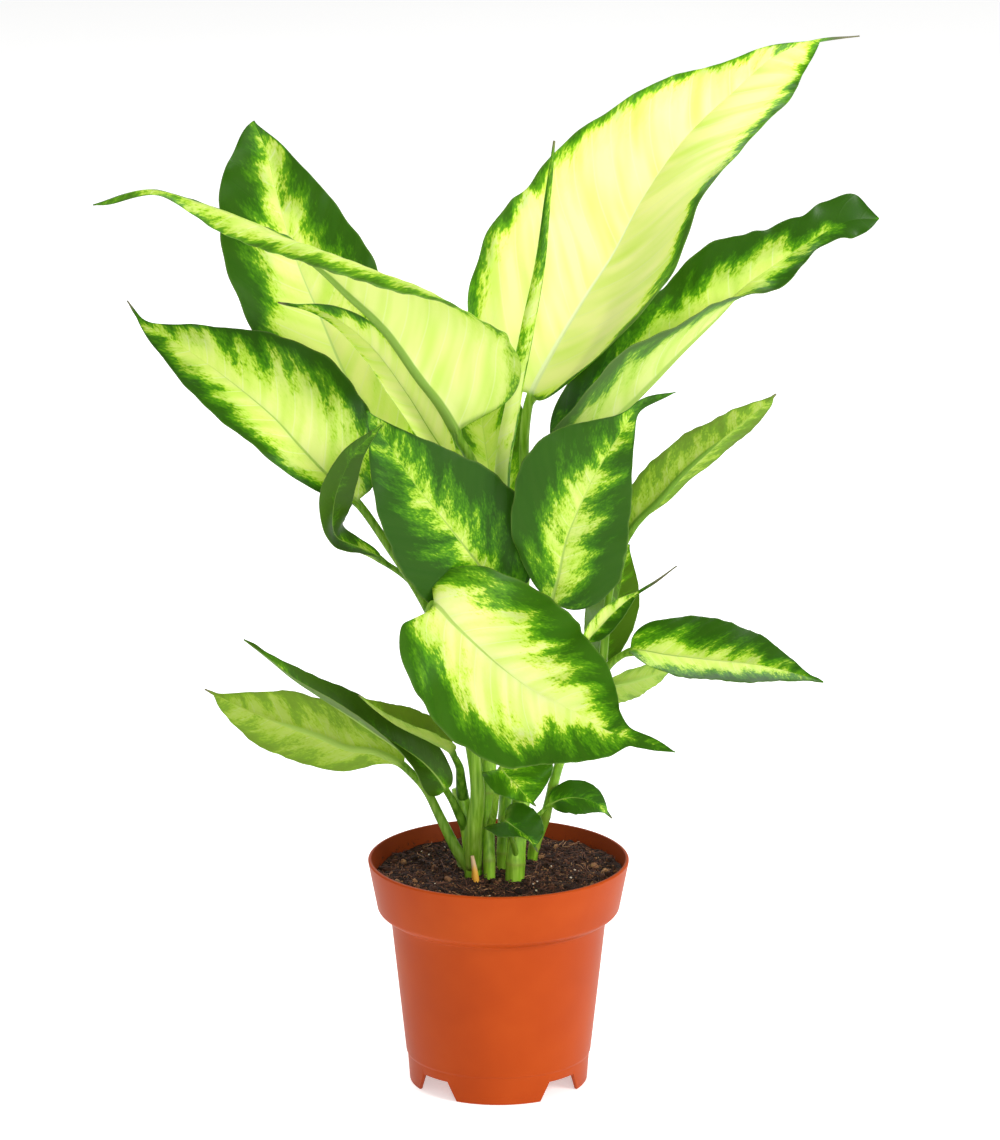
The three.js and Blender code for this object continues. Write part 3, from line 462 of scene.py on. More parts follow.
def laid_on(tree, points, piece, turn, size):
    """The piece on every point, each with a shade of its own."""
    laid = add_node(tree, "GeometryNodeInstanceOnPoints", {
        "Points": points, "Instance": piece, "Rotation": turn, "Scale": size,
    })
    shaded = add_node(tree, "GeometryNodeStoreNamedAttribute", {
        "data_type": "FLOAT", "domain": "INSTANCE", "Name": "shade", "Geometry": laid,
        "Value": add_node(tree, "FunctionNodeRandomValue", {"data_type": "FLOAT"}, out=1),
    })
    return add_node(tree, "GeometryNodeRealizeInstances", {"Geometry": shaded})


def pushed_about(tree, pieces, push):
    return add_node(tree, "GeometryNodeSetPosition", {"Geometry": pieces, "Offset": push})


def finish_scatter(tree, given, pieces):
    """Gives the pieces their material and ends the tree."""
    coated = add_node(tree, "GeometryNodeSetMaterial", {"Geometry": pieces, "Material": given["Finish"]})
    add_node(tree, "NodeGroupOutput", {"Scattered": coated})


# A crumb is a rough ball, turned at random and knocked out of shape
crumb_tree, given, strewn = scattering_tree("crumbs", {
    "Pieces per square metre": "Float", "Smallest": "Float", "Largest": "Float", "Facets": "Int",
    "Seed": "Int", "Finish": "Material",
})
pebble = add_node(crumb_tree, "GeometryNodeMeshIcoSphere", {"Radius": 1, "Subdivisions": given["Facets"]})
turn = add_node(crumb_tree, "FunctionNodeRandomValue", {
    "data_type": "FLOAT_VECTOR", "Min": (0, 0, 0), "Max": (WHOLE_TURN, WHOLE_TURN, WHOLE_TURN),
    "Seed": given["Seed"],
})
size = add_node(crumb_tree, "FunctionNodeRandomValue", {
    "data_type": "FLOAT_VECTOR", "Seed": given["Seed"],
    "Min": add_node(crumb_tree, "ShaderNodeCombineXYZ", {axis: given["Smallest"] for axis in "XYZ"}),
    "Max": add_node(crumb_tree, "ShaderNodeCombineXYZ", {axis: given["Largest"] for axis in "XYZ"}),
})
broken = add_node(crumb_tree, "ShaderNodeTexNoise", {"Scale": 620, "Detail": 2}, out="Color")
centred = add_node(crumb_tree, "ShaderNodeVectorMath", {
    "operation": "SUBTRACT", 0: broken, 1: (0.5, 0.5, 0.5),
})
chipping = add_node(crumb_tree, "ShaderNodeVectorMath", {
    "operation": "SCALE", 0: centred, "Scale": given["Largest"],
})
crumbs = laid_on(crumb_tree, strewn, pebble, turn, size)
finish_scatter(crumb_tree, given, pushed_about(crumb_tree, crumbs, chipping))

# A fibre is a thin four-sided hair, laid nearly flat and curled
HAIR_STEPS = 9
CURL = (0.012, 0.012, 0.006)
fibre_tree, given, strewn = scattering_tree("fibres", {
    "Pieces per square metre": "Float", "Shortest": "Float", "Longest": "Float", "Hair radius": "Float",
    "Seed": "Int", "Finish": "Material",
})
hair = add_node(fibre_tree, "GeometryNodeCurvePrimitiveLine", {"Start": (-0.5, 0, 0), "End": (0.5, 0, 0)})
stepped_hair = add_node(fibre_tree, "GeometryNodeResampleCurve", {"Count": HAIR_STEPS, "Curve": hair})
turn = add_node(fibre_tree, "FunctionNodeRandomValue", {
    "data_type": "FLOAT_VECTOR", "Min": (0, -0.3, 0), "Max": (0, 0.25, WHOLE_TURN), "Seed": given["Seed"],
})
length = add_node(fibre_tree, "FunctionNodeRandomValue", {
    "data_type": "FLOAT", 2: given["Shortest"], 3: given["Longest"], "Seed": given["Seed"],
}, out=1)
bend = add_node(fibre_tree, "ShaderNodeTexNoise", {"Scale": 130, "Detail": 1}, out="Color")
centred = add_node(fibre_tree, "ShaderNodeVectorMath", {
    "operation": "SUBTRACT", 0: bend, 1: (0.5, 0.5, 0.42),
})
curling = add_node(fibre_tree, "ShaderNodeVectorMath", {"operation": "MULTIPLY", 0: centred, 1: CURL})
hairs = laid_on(fibre_tree, strewn, stepped_hair, turn, length)
section = add_node(fibre_tree, "GeometryNodeCurvePrimitiveCircle", {
    "Resolution": 4, "Radius": given["Hair radius"],
})
finish_scatter(fibre_tree, given, add_node(fibre_tree, "GeometryNodeCurveToMesh", {
    "Curve": pushed_about(fibre_tree, hairs, curling), "Profile Curve": section, "Fill Caps": True,
}))


def scattered_piece(name, tree, values):
    """Strews a tree's pieces on the soil and keeps them as one plain mesh."""
    piece = bpy.data.objects.new(name, soil.data.copy())
    scene.collection.objects.link(piece)
    strew = piece.modifiers.new("strew", "NODES")
    strew.node_group = tree
    for item in tree.interface.items_tree:
        if item.in_out == "INPUT" and item.name in values:
            strew[item.identifier] = values[item.name]
    finished_mesh(piece, name)
    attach(piece, "root")
    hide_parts("soil")


scattered_piece("soil_clods", crumb_tree, {
    "Pieces per square metre": 15000.0, "Smallest": 0.9 * MM, "Largest": 2.3 * MM, "Facets": 2, "Seed": 3,
    "Finish": crumbled_peat,
})
scattered_piece("soil_crumbs", crumb_tree, {
    "Pieces per square metre": 620000.0, "Smallest": 0.25 * MM, "Largest": 0.85 * MM, "Facets": 1, "Seed": 8,
    "Finish": crumbled_peat,
})
scattered_piece("soil_grit", crumb_tree, {
    "Pieces per square metre": 1700.0, "Smallest": 0.35 * MM, "Largest": 0.75 * MM, "Facets": 2, "Seed": 5,
    "Finish": white_grit,
})
scattered_piece("soil_fibres", fibre_tree, {
    "Pieces per square metre": 70000.0, "Shortest": 2.5 * MM, "Longest": 10.0 * MM, "Hair radius": 0.13 * MM,
    "Seed": 11, "Finish": loose_coir,
})
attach(soil, "root")
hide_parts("soil")


# Canes: the stems of a dieffenbachia, green, round and fleshy, ringed where old leaves
# stood. Each runs down into the soil.
SPAN_SAMPLES = 24
NODE_SPACING = 16
RIDGE_WIDTH, RIDGE_RISE = 0.7, 0.2
SWELLING_WIDTH, SWELLING_RISE = 3.5, 0.16
CANE_SIDES = 40
CANE_STEP = 1.1
FRONT = np.array([[0.0, -1.0, 0.0]])
CANES = {
    "cane_left": dict(
        points=[(-11.6, -8.5, 76), (-11.6, -8.5, 104), (-14, -7, 124), (-18, -5, 141)],
        radii=[4.2, 4.0, 3.4]),
    "cane_centre": dict(
        points=[(-4.2, -12.5, 76), (-4.2, -11, 106), (-4.8, -6, 124), (-5, -4, 147), (-3, 0, 172),
                (0, 2, 199), (1, 3, 220)],
        radii=[2.5, 2.8, 3.9, 3.9, 3.7]),
    "cane_back": dict(
        points=[(3, 0, 76), (3, 2, 110), (4, 7, 135), (4, 13, 166), (3, 18, 204), (3, 20, 224)],
        radii=[3.8, 3.7, 3.5, 3.4]),
    "cane_right": dict(
        points=[(7, -15, 76), (8, -14, 112), (10, -10, 134), (13, -6, 157), (16, -3, 181), (18, -2, 198)],
        radii=[4.5, 4.2, 3.2]),
    "cane_side": dict(
        points=[(14, 13, 76), (16, 12, 105), (21, 9, 121), (27, 6, 146), (35, 4, 171), (42, 2, 189)],
        radii=[2.6, 2.3, 2]),
}


def spine_through(points):
    """A smooth line through the points: its places, and how far along it each lies."""
    knots = np.array(points, float)
    knots = np.vstack([2 * knots[0] - knots[1], knots, 2 * knots[-1] - knots[-2]])
    share = np.arange(SPAN_SAMPLES)[:, None] / SPAN_SAMPLES
    spans = []
    for p0, p1, p2, p3 in zip(knots, knots[1:], knots[2:], knots[3:]):
        d0, d1, d2 = (np.linalg.norm(step) ** 0.5 for step in (p1 - p0, p2 - p1, p3 - p2))
        leave = ((p1 - p0) / d0 - (p2 - p0) / (d0 + d1) + (p2 - p1) / d1) * d1
        arrive = ((p2 - p1) / d1 - (p3 - p1) / (d1 + d2) + (p3 - p2) / d2) * d1
        bend = (3 * (p2 - p1) - 2 * leave - arrive) * share ** 2
        spans.append(p1 + leave * share + bend + (2 * (p1 - p2) + leave + arrive) * share ** 3)
    places = np.vstack([*spans, knots[-2:-1]])
    steps = np.linalg.norm(np.diff(places, axis=0), axis=1)
    return places, np.concatenate([[0], np.cumsum(steps)])


def place_on(spine, distances):
    """The places at some distances along a line."""
    places, lengths = spine
    return np.column_stack([np.interp(distances, lengths, places[:, axis]) for axis in range(3)])


def unit(vectors):
    return vectors / np.linalg.norm(vectors, axis=-1, keepdims=True)


def heading_on(spine, distances, reach=4):
    """Which way a line runs there, evened out over a short reach."""
    return unit(place_on(spine, distances + reach) - place_on(spine, distances - reach))


def frame_across(heading, facing):
    """Square to the line: the way that faces up, and the way to its right."""
    normal = unit(facing - heading * np.sum(facing * heading, axis=-1, keepdims=True))
    return normal, np.cross(heading, normal)


def round_rings(centres, heading, facing, radii, sides):
    """A round ring of points about each centre, square to its heading."""
    normal, side = frame_across(heading, facing)
    angles = np.pi * (1 - (2 * np.arange(sides) + 1) / sides)
    across = side[:, None] * np.cos(angles)[:, None] + normal[:, None] * np.sin(angles)[:, None]
    return centres[:, None] + across * np.reshape(radii, (len(centres), -1, 1))


def skin_over(name, rings, marks):
    """A closed piece over a row of rings. marks are numbers for every point, by name."""
    count, size = rings.shape[:2]
    k = np.arange(size)
    row = np.stack([k, (k + 1) % size, (k + 1) % size + size, k + size], axis=1)
    faces = (row[None] + (np.arange(count - 1) * size)[:, None, None]).reshape(-1, 4)
    j = np.arange(size // 2 - 1)
    foot = np.stack([j, size - 1 - j, size - 2 - j, j + 1], axis=1)
    top = foot[:, ::-1] + (count - 1) * size
    faces = np.vstack([faces, foot, top])
    points = rings.reshape(-1, 3)
    a, b, c, d = (points[faces[:, i]] for i in range(4))
    volume = np.sum(a * np.cross(b, c)) + np.sum(a * np.cross(c, d))
    if volume < 0:
        faces = faces[:, ::-1]
    piece = mesh_piece(name, points, faces.tolist())
    for label, values in marks.items():
        mark = piece.data.attributes.new(label, "FLOAT", "POINT")
        mark.data.foreach_set("value", np.broadcast_to(values, (count, size)).astype(np.float32).ravel())
    return piece


def cane_form(cane):
    """A cane's rings, the height along it, and the mark of each old leaf."""
    spine = spine_through(cane["points"])
    total = spine[1][-1]
    distances = np.linspace(0, total, int(total / CANE_STEP) + 1)
    radii = np.interp(distances / total, np.linspace(0, 1, len(cane["radii"])), cane["radii"])
    nearest = (distances + NODE_SPACING / 2) % NODE_SPACING - NODE_SPACING / 2
    ridge = np.exp(-(nearest / RIDGE_WIDTH) ** 2)
    swelling = np.exp(-(nearest / SWELLING_WIDTH) ** 2)
    radii = radii + RIDGE_RISE * ridge + SWELLING_RISE * swelling
    rings = round_rings(place_on(spine, distances), heading_on(spine, distances), FRONT, radii, CANE_SIDES)
    return rings, (ridge + 0.3 * swelling)[:, None]


# Living cane: a smooth, waxy green skin with fine lengthwise streaks and darker mottling,
# browner on each ring
living_cane, tree = bare_material("living_cane")
place = object_place(tree)
lengthwise = add_node(tree, "ShaderNodeMapping", {"Vector": place, "Scale": (520, 520, 34)})
streaks = mottle(tree, lengthwise, scale=1, detail=3, roughness=0.6)
cane_colour = ramp(tree, streaks, [(0.3, "#5a8a12"), (0.5, "#78aa20"), (0.72, "#9eca44")])
dark_share = rescaled(tree, mottle(tree, place, scale=210, detail=3), (0.5, 0.72), (0, 0.3))
mottled = laid_over(tree, dark_share, cane_colour, paint("#3d6a1a"))
scar_share = add_node(tree, "ShaderNodeMath", {
    "operation": "MULTIPLY", "use_clamp": True, 0: point_mark(tree, "leaf_scar"), 1: 0.35,
})
give_surface(tree, {
    "Base Color": laid_over(tree, scar_share, mottled, paint("#7d7a3a")), "Roughness": 0.42,
    "Specular IOR Level": 0.32, "Subsurface Weight": 0.06, "Subsurface Radius": (0.002, 0.003, 0.001),
    "Normal": bump(tree, streaks, strength=0.15, distance=0.0003),
})

for name, cane in CANES.items():
    rings, scars = cane_form(cane)
    piece = skin_over(name + "_stem", rings, {"leaf_scar": scars})
    piece.data.materials.append(living_cane)
    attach(piece, "root")
    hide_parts(name)


# Shoots: two short side shoots beside the left cane, one yellow with a dry tip and one
# pale green. Each is a young sheath rolled round itself, with its free edge at the side.
SHOOT_RINGS = 40
SHOOT_SIDES = 32
SHEATH_OVERLAP = 0.09
SHOOTS = {
    "shoot_yellow": dict(
        points=[(-10.4, -17.6, 84), (-10.7, -17.3, 103), (-12, -16.6, 112)], radii=[2.1, 2.0, 0.8],
        foot="#c88a14", middle="#dca638", tip="#d8b48a"),
    "shoot_pale": dict(
        points=[(-17, 5, 84), (-17, 5, 99), (-19, 5, 110)], radii=[2.2, 2.1, 1.3],
        foot="#a9c36a", middle="#8fb45a", tip="#6f9a3c"),
}


def shoot_material(name, shoot):
    """Young sheath: papery and streaked lengthwise, drying from its tip."""
    material, tree = bare_material(name)
    lengthwise = add_node(tree, "ShaderNodeMapping", {"Vector": object_place(tree), "Scale": (900, 900, 60)})
    streaks = mottle(tree, lengthwise, scale=1, detail=3)
    shifted = maths(tree, "MULTIPLY_ADD", streaks, 0.3, point_mark(tree, "along"))
    colour = ramp(tree, shifted, [(0.66, shoot["foot"]), (0.9, shoot["middle"]), (1.0, shoot["tip"])])
    ribs = bump(tree, streaks, strength=0.4, distance=0.0003)
    give_surface(tree, {"Base Color": colour, "Roughness": 0.5, "Normal": ribs})
    return material


for name, shoot in SHOOTS.items():
    spine = spine_through(shoot["points"])
    distances = np.linspace(0, spine[1][-1], SHOOT_RINGS)
    along = distances / spine[1][-1]
    radii = np.interp(along, np.linspace(0, 1, len(shoot["radii"])), shoot["radii"])
    angles = np.linspace(0, 2 * np.pi, SHOOT_SIDES, endpoint=False)
    turned = np.mod(angles[None] + 0.02 * distances[:, None], 2 * np.pi) / np.pi
    rings = round_rings(
        place_on(spine, distances), heading_on(spine, distances), FRONT,
        radii[:, None] * (1 + SHEATH_OVERLAP * (turned - 1)), SHOOT_SIDES)
    piece = skin_over(name + "_sheath", rings, {"along": along[:, None]})
    piece.data.materials.append(shoot_material(name + "_sheath", shoot))
    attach(piece, "root")
    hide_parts(name)


# Leaves: each is one growth, a round stalk that opens into a thin, glossy blade with a
# keeled rib underneath. The blades are cream along the rib and green at the edge.
#
# stalk and rib are points up the middle of the stalk and of the blade, in millimetres.
# girth is the stalk's radius at the cane and at the blade, face the way the upper side
# looks from base to tip. Pairs are (left, right), seen from above with the tip ahead: half
# widths, the widest place, how round the base is, how drawn out the tip, how far the lobe
# reaches back, how far a half lifts from the rib (fold) and bends towards its edge (roll).
# tail is the drawn-out end: its length and its half widths. wave is the height of the
# edge's waves. cream is the share of each half that is cream, flame how far the green
# licks into it, age from fresh to dark, and the fade share how far the pattern gives way
# to one even, lighter green, in part painted light that lifts leaves lying in shade. line is the
# coloured rib: its half width at the base, the share of the blade it runs along, and how
# green it is. A leaf that names no value has that of a plain leaf.


def alike(values):
    """The same values for both halves."""
    return values, values


PLAIN_LEAF = dict(
    base=(0.5, 0.5), taper=(1.2, 1.2), lobe=(0, 0), tail=(0, 0, 0), roll=alike([0]), flame=0.3, fade_and_painted_light=0)
LEAVES = {
    "leaf_front": dict(
        stalk=[(-11.6, -8.5, 104), (-11, -12, 123), (-9.5, -15, 143), (-13, -16, 168), (-22, -21, 205),
               (-31, -30, 230)],
        rib=[(-29, -33, 236), (-20, -38, 228), (-9, -41, 218), (2, -48, 210), (16, -57, 202),
             (31, -67, 197), (48, -81, 191), (61, -91, 190), (78, -104, 188)],
        girth=(4.2, 2), face=[(0.1, -1, 0.45), (0.1, -1, 0.5)], half=(39, 40), widest=(0.37, 0.43),
        taper=(1.15, 0.95), lobe=(0.7, 0.5), tail=(22, 3.6, 3.6), wave=1, fold=alike([12, 8, 5]),
        roll=([-25, -18, 0], [-25, -14, 0]),
        cream=([0.58, 0.6, 0.54, 0.48, 0.43, 0.3, 0.03], [0.58, 0.57, 0.58, 0.6, 0.58, 0.46, 0.18, -0.1]),
        flame=0.13, age=0.0, line=(1.2, 0.5, 0.5)),
    "leaf_centre_left": dict(
        stalk=[(-3, -7, 165), (-1, -8, 190), (2, -11, 215)],
        rib=[(1, -14, 235), (-9, -20, 251), (-25, -26, 274), (-38, -29, 292), (-49, -29, 309),
             (-59, -26, 324)],
        girth=(3.2, 1.8), face=[(0, -1, 0.3)], half=(30, 33), widest=(0.28, 0.32), taper=(1.15, 1.3),
        lobe=(0.25, 0.25), wave=0.8, fold=alike([14, 8, 6]), roll=alike([-20, -10, 0]),
        cream=([0.26, 0.22, 0.16, 0.1, 0.04, -0.05], [0.28, 0.26, 0.2, 0.14, 0.06, -0.02]), flame=0.18,
        age=0.7, line=(1.0, 0.6, 0.7)),
    "leaf_centre_right": dict(
        stalk=[(14, -9, 166), (18, -11, 190), (22, -15, 216)],
        rib=[(24, -18, 232), (27, -23, 246), (31, -29, 266), (38, -35, 285), (46, -38, 302),
             (56, -39, 319), (63, -37, 329), (79, -36, 335)],
        girth=(3.2, 1.8), face=[(0, -1, 0.2), (0, -1, 0.3)], half=(32, 28), widest=(0.6, 0.27),
        base=(1, 0.5), taper=(1.5, 1.2), lobe=(0.2, 0.2), tail=(18, 2.2, 2.2), wave=0.8,
        fold=alike([14, 8, 6]), roll=alike([-20, -10, 0]),
        cream=([0.26, 0.33, 0.26, 0.19, 0.1, 0], [0.25, 0.3, 0.24, 0.18, 0.1, 0]), flame=0.17, age=0.5,
        line=(1.1, 0.62, 0.6)),
    "leaf_tall_left": dict(
        stalk=[(-1, 19, 190), (-7, 24, 222), (-22, 24, 254)],
        rib=[(-43, 20, 285), (-55, 23, 305), (-68, 28, 324), (-81, 37, 352), (-91, 46, 374),
             (-100, 58, 401), (-106, 68, 423), (-112, 71, 436)],
        girth=(3, 1.9), face=[(0.1, -1, 0.1), (0, -1, 0.3)], half=(32, 33), widest=(0.6, 0.5),
        base=(0.6, 0.6), taper=(0.6, 1.2), lobe=(0.1, 0.1), wave=1, fold=alike([18, 12, 8]),
        roll=alike([-20, -10, 0]),
        cream=([0.9, 0.85, 0.78, 0.62, 0.4, 0.22, 0.05], [0.9, 0.85, 0.75, 0.52, 0.32, 0.18, 0.05]),
        flame=0.12, age=0.28, line=(1.2, 0.8, 0.4)),
    "leaf_reaching_left": dict(
        stalk=[(0, 0, 215), (-3, -1, 252), (-7, -3, 278), (-13, -7, 298)],
        rib=[(-19, -9, 311), (-26, -13, 324), (-35, -18, 337), (-51, -27, 362), (-67, -36, 380),
             (-78, -41, 392), (-94, -48, 406), (-113, -55, 418), (-131, -61, 426), (-153, -69, 434),
             (-177, -76, 429)],
        girth=(3.4, 2.2), face=[(0.55, 0.7, 0.42), (0.5, 0.7, 0.5), (0.3, 0.3, 0.8)], half=(47, 26),
        widest=(0.2, 0.3), base=(0.25, 0.5), taper=(1.9, 1.4), tail=(14, 2.6, 2.6), wave=0.5,
        fold=([42, 40, 36, 0, -70, -80], [78, 74, 40, 20, 10]),
        roll=([-5, -40, -120, -110, -30, 0], [0, 0]),
        cream=([0.98, 0.97, 0.95, 0.86, 0.82, 0.7, 0.5], [0.95, 0.93, 0.92, 0.88, 0.8, 0.6, 0.3]),
        flame=0.07, age=0.48, fade_and_painted_light=0.1, line=(1.0, 0.8, 0.84)),
    "leaf_spread_left": dict(
        stalk=[(-5, -4, 147), (-9, -3, 164), (-18, -4, 192), (-33, -6, 228), (-49, -8, 255)],
        rib=[(-64, -8, 277), (-78, -4, 289), (-90, 0, 301), (-101, 6, 312), (-121, 15, 327),
             (-140, 24, 339), (-162, 34, 351), (-169, 40, 359)],
        girth=(2.9, 1.9), face=[(0, -1, 0.35)], half=(19, 37), widest=(0.5, 0.35), base=(0.8, 0.5),
        taper=(1.1, 1.6), lobe=(0.2, 0.2), tail=(8, 0.8, 0.8), wave=1, fold=([35, 30, 20], [6, 4, 4]),
        roll=alike([-15, -10, 0]), cream=alike([0.8, 0.68, 0.6, 0.55, 0.5, 0.15]), flame=0.13, age=0.45,
        line=(1.2, 0.7, 0.58)),
    "leaf_rolled_left": dict(
        stalk=[(-4, 4, 215), (-8, 8, 250), (-13, 7, 274)],
        rib=[(-21, 4, 291), (-31, 1, 308), (-42, -2, 327), (-58, -4, 349), (-76, -5, 363), (-99, -6, 369)],
        girth=(2.8, 1.6), face=[(0, -1, 0.2), (0, -1, 0.5)], half=(10, 13), widest=(0.4, 0.4),
        tail=(6, 0.8, 0.8), wave=0, fold=alike([40, 35, 30]), roll=alike([20, 20, 0]),
        cream=([1.4, 1.4, 1.4, 0.8], [1.4, 1.3, 1.0, 0.6, 0]), flame=0.1, age=0.1, line=(0.8, 0.7, 0.6)),
    "leaf_creased_left": dict(
        stalk=[(-6, 1, 160), (-13, 5, 186), (-26, 8, 215), (-40, 8, 235)],
        rib=[(-54, 6, 247), (-64, 2, 253), (-74, -7, 261), (-74, -17, 279), (-69, -24, 295),
             (-63, -30, 307), (-52, -37, 320)],
        girth=(2.4, 1.3), face=[(0, -0.4, 1), (0.6, -0.8, 0.6), (0, -1, 0.2), (0, -1, 0.2)], half=(8, 8),
        widest=(0.5, 0.5), wave=0.4, fold=alike([20, 15, 10]), cream=alike([0.2, -0.5, -0.8, -0.8]),
        age=0.7, fade_and_painted_light=0.1, line=(0.6, 0.6, 0.6)),
    "leaf_crown": dict(
        stalk=[(4, 19, 198), (10, 24, 218), (12, 25, 240), (12, 21, 270), (12, 14, 305)],
        rib=[(15, 12, 322), (25, 17, 341), (40, 25, 365), (52, 33, 382), (66, 45, 406), (86, 61, 431),
             (108, 76, 449), (127, 88, 463), (145, 96, 468), (166, 104, 469)],
        girth=(3.2, 2.2), face=[(0.05, -1, 0.3), (0.05, -1, 0.35)], half=(53, 46), widest=(0.24, 0.28),
        taper=(1.6, 0.72), lobe=(0.2, 0.2), tail=(20, 0.8, 0.8), wave=1.4,
        fold=([4, 2, 4], [40, 46, 60, 52, 10]), roll=([-15, -5, 0], [90, 10, -10, 0]),
        cream=([0.98, 0.95, 0.92, 0.93, 0.93, 0.88, 0.6], [0.88, 0.88, 0.9, 0.92, 0.93, 0.88, 0.6]),
        flame=0.05, age=0.0, line=(1.7, 0.6, 0.1)),
    "leaf_trough_right": dict(
        stalk=[(19, -1, 190), (22, 3, 238), (27, 0, 271)],
        rib=[(33, -6, 297), (46, -7, 310), (66, -2, 329), (82, 6, 344), (98, 17, 357), (111, 26, 368),
             (128, 36, 378), (144, 47, 386), (160, 58, 392), (174, 64, 392)],
        girth=(3.2, 2.2),
        face=[(-0.5, -0.3, 0.75), (-0.5, -0.4, 0.75), (-0.3, -0.75, 0.6), (-0.3, -0.85, 0.4)],
        half=(31, 27), widest=(0.35, 0.2), taper=(0.85, 1.3), lobe=(0.5, 0.5), tail=(14, 13, 8), wave=2,
        fold=([54, 50, 20, 10, 5], [80, 75, 60, 10, 5]),
        cream=([0.65, 0.6, 0.55, 0.5, 0.4, 0.2, -0.4], [0.45, 0.62, 0.72, 0.66, 0.5, 0.2, -0.4]),
        flame=0.1, age=0.6, line=(0.8, 0.7, 0.6)),
    "leaf_back": dict(
        stalk=[(2, 24, 205), (3, 27, 232)],
        rib=[(0, 28, 255), (-5, 38, 285), (-8, 49, 306), (-10, 61, 326), (-11, 74, 344)],
        girth=(2.8, 1.7), face=[(0, -1, 0.3)], half=(20, 20), widest=(0.45, 0.45), lobe=(0.1, 0.1),
        wave=0.6, fold=alike([20, 15, 10]), cream=alike([0.65, 0.6, 0.45, 0.15]), flame=0.26, age=0.5,
        fade_and_painted_light=0.15, line=(0.7, 0.6, 0.5)),
    "leaf_upright_right": dict(
        stalk=[(46, 1, 184), (48, 0, 205), (51, -1, 235)],
        rib=[(60, -4, 263), (72, -13, 279), (82, -21, 293), (96, -31, 309), (109, -42, 323),
             (119, -48, 333), (123, -52, 338)],
        girth=(2.4, 1.5), face=[(-0.1, 1, 0.4)], half=(9, 14), widest=(0.6, 0.25), base=(0.9, 0.5),
        taper=(0.7, 0.8), tail=(3, 0.8, 0.8), wave=0.6, fold=alike([25, 20, 10]),
        cream=alike([0.6, 0.5, 0.4, 0.3]), flame=0.6, age=0.5, fade_and_painted_light=0.45, line=(0.5, 0.7, 0.9)),
    "leaf_dark_right": dict(
        stalk=[(40, 6, 176), (44, 9, 186)],
        rib=[(48, 11, 197), (51, 18, 209), (55, 28, 223), (58, 38, 234), (60, 44, 243)],
        girth=(2.2, 1.4), face=[(0, -1, 0.3)], half=(14, 11), widest=(0.4, 0.4), taper=(1.3, 1.3),
        lobe=(0.1, 0.1), wave=0.4, fold=alike([20, 15, 10]), cream=alike([-0.4]), flame=0.2, age=0.5,
        fade_and_painted_light=0.2, line=(0.6, 0.7, 0.7)),
    "leaf_tailed_right": dict(
        stalk=[(41, -1, 183), (42, -4, 198)],
        rib=[(41, -6, 211), (46, -9, 218), (52, -13, 226), (62, -20, 237), (71, -27, 245), (80, -34, 254)],
        girth=(2, 1.2), face=[(0.2, -1, 0.3)], half=(8, 6), widest=(0.4, 0.4), tail=(26, 0.8, 0.8),
        wave=0, fold=alike([40, 40, 30]), cream=([1.2, 1.2], [-0.3, -0.3]), age=0.3,
        line=(0.6, 0.7, 0.5)),
    "leaf_low_right": dict(
        stalk=[(45, -1, 190), (52, -4, 201)],
        rib=[(60, -8, 207), (77, -16, 207), (97, -28, 208), (115, -42, 210), (132, -55, 210),
             (145, -66, 209)],
        girth=(2.2, 1.5), face=[(0, -0.7, 0.7)], half=(21, 21), widest=(0.3, 0.45), base=(0.5, 0.8),
        taper=(1.25, 1), lobe=(0.15, 0.15), tail=(5, 1.4, 1.4), wave=0.6,
        fold=([15, 12, 8], [40, 35, 20]), roll=alike([-10, -10, 0]),
        cream=([0.35, 0.4, 0.32, 0.22, 0.1, -0.3], [0.8, 0.9, 0.7, 0.5, 0.3, -0.3]), flame=0.16, age=0.35,
        line=(0.6, 0.75, 0.6)),
    "leaf_drooping_right": dict(
        stalk=[(40, 5, 180), (44, 6, 184)],
        rib=[(50, 7, 186), (61, 12, 187), (72, 20, 188), (83, 30, 190)],
        girth=(1.9, 1.2), face=[(0, 1, 0.3)], half=(14, 6), widest=(0.3, 0.45), taper=(1.1, 1.1),
        tail=(2, 0.8, 0.8), wave=0.4, fold=alike([15, 12, 8]), cream=alike([1.0]), age=0.85, fade_and_painted_light=0.45,
        line=(0.5, 0.6, 0.6)),
    "leaf_low_left_dark": dict(
        stalk=[(-14, -7, 120), (-18, -11, 130), (-21, -15, 138)],
        rib=[(-24, -18, 144), (-28, -21, 151), (-35, -23, 159), (-47, -25, 168), (-60, -26, 177),
             (-76, -27, 188), (-92, -28, 199), (-104, -28, 209), (-115, -28, 218)],
        girth=(2.6, 1.6), face=[(0.1, -1, 0.2), (0.2, -0.6, 0.7), (0.2, -0.4, 0.9)], half=(10, 12),
        widest=(0.12, 0.35), taper=(1.2, 0.9), lobe=(0.2, 0.2), tail=(8, 2.2, 2.2), wave=0.4,
        fold=([10, 60, 70, 60, 40], [12, 12, 10]), roll=([-10, 0, 0], [-20, -10, 0]),
        cream=alike([-0.4, -0.7, -0.7]), age=0.9, fade_and_painted_light=0.1, line=(0.6, 0.75, 0.6)),
    "leaf_low_left_pale": dict(
        stalk=[(-11.6, -8.5, 101), (-19, -8, 112), (-26, -7, 126), (-34, -7, 142)],
        rib=[(-44, -8, 153), (-56, -7, 159), (-69, -4, 160), (-82, 1, 164), (-94, 5, 167),
             (-110, 11, 171), (-135, 22, 180)],
        girth=(3, 1.8), face=[(0, 1, 0.1)], half=(17, 17), widest=(0.5, 0.54), base=(0.6, 1.1),
        taper=(1.2, 0.75), lobe=(0.1, 0.1), tail=(5, 0.8, 0.8), wave=0.6, fold=alike([12, 10, 8]),
        roll=alike([-10, -10, 0]), cream=([0.75, 0.7, 0.65, 0.6, 0.5], [0.75, 0.8, 0.75, 0.7, 0.6]),
        flame=0.5, age=0.5, fade_and_painted_light=0.6, line=(0.8, 0.6, 0.6)),
    "leaf_low_left_folded": dict(
        stalk=[(-16.5, -6, 136), (-17.2, -11, 147), (-18, -18.6, 157)],
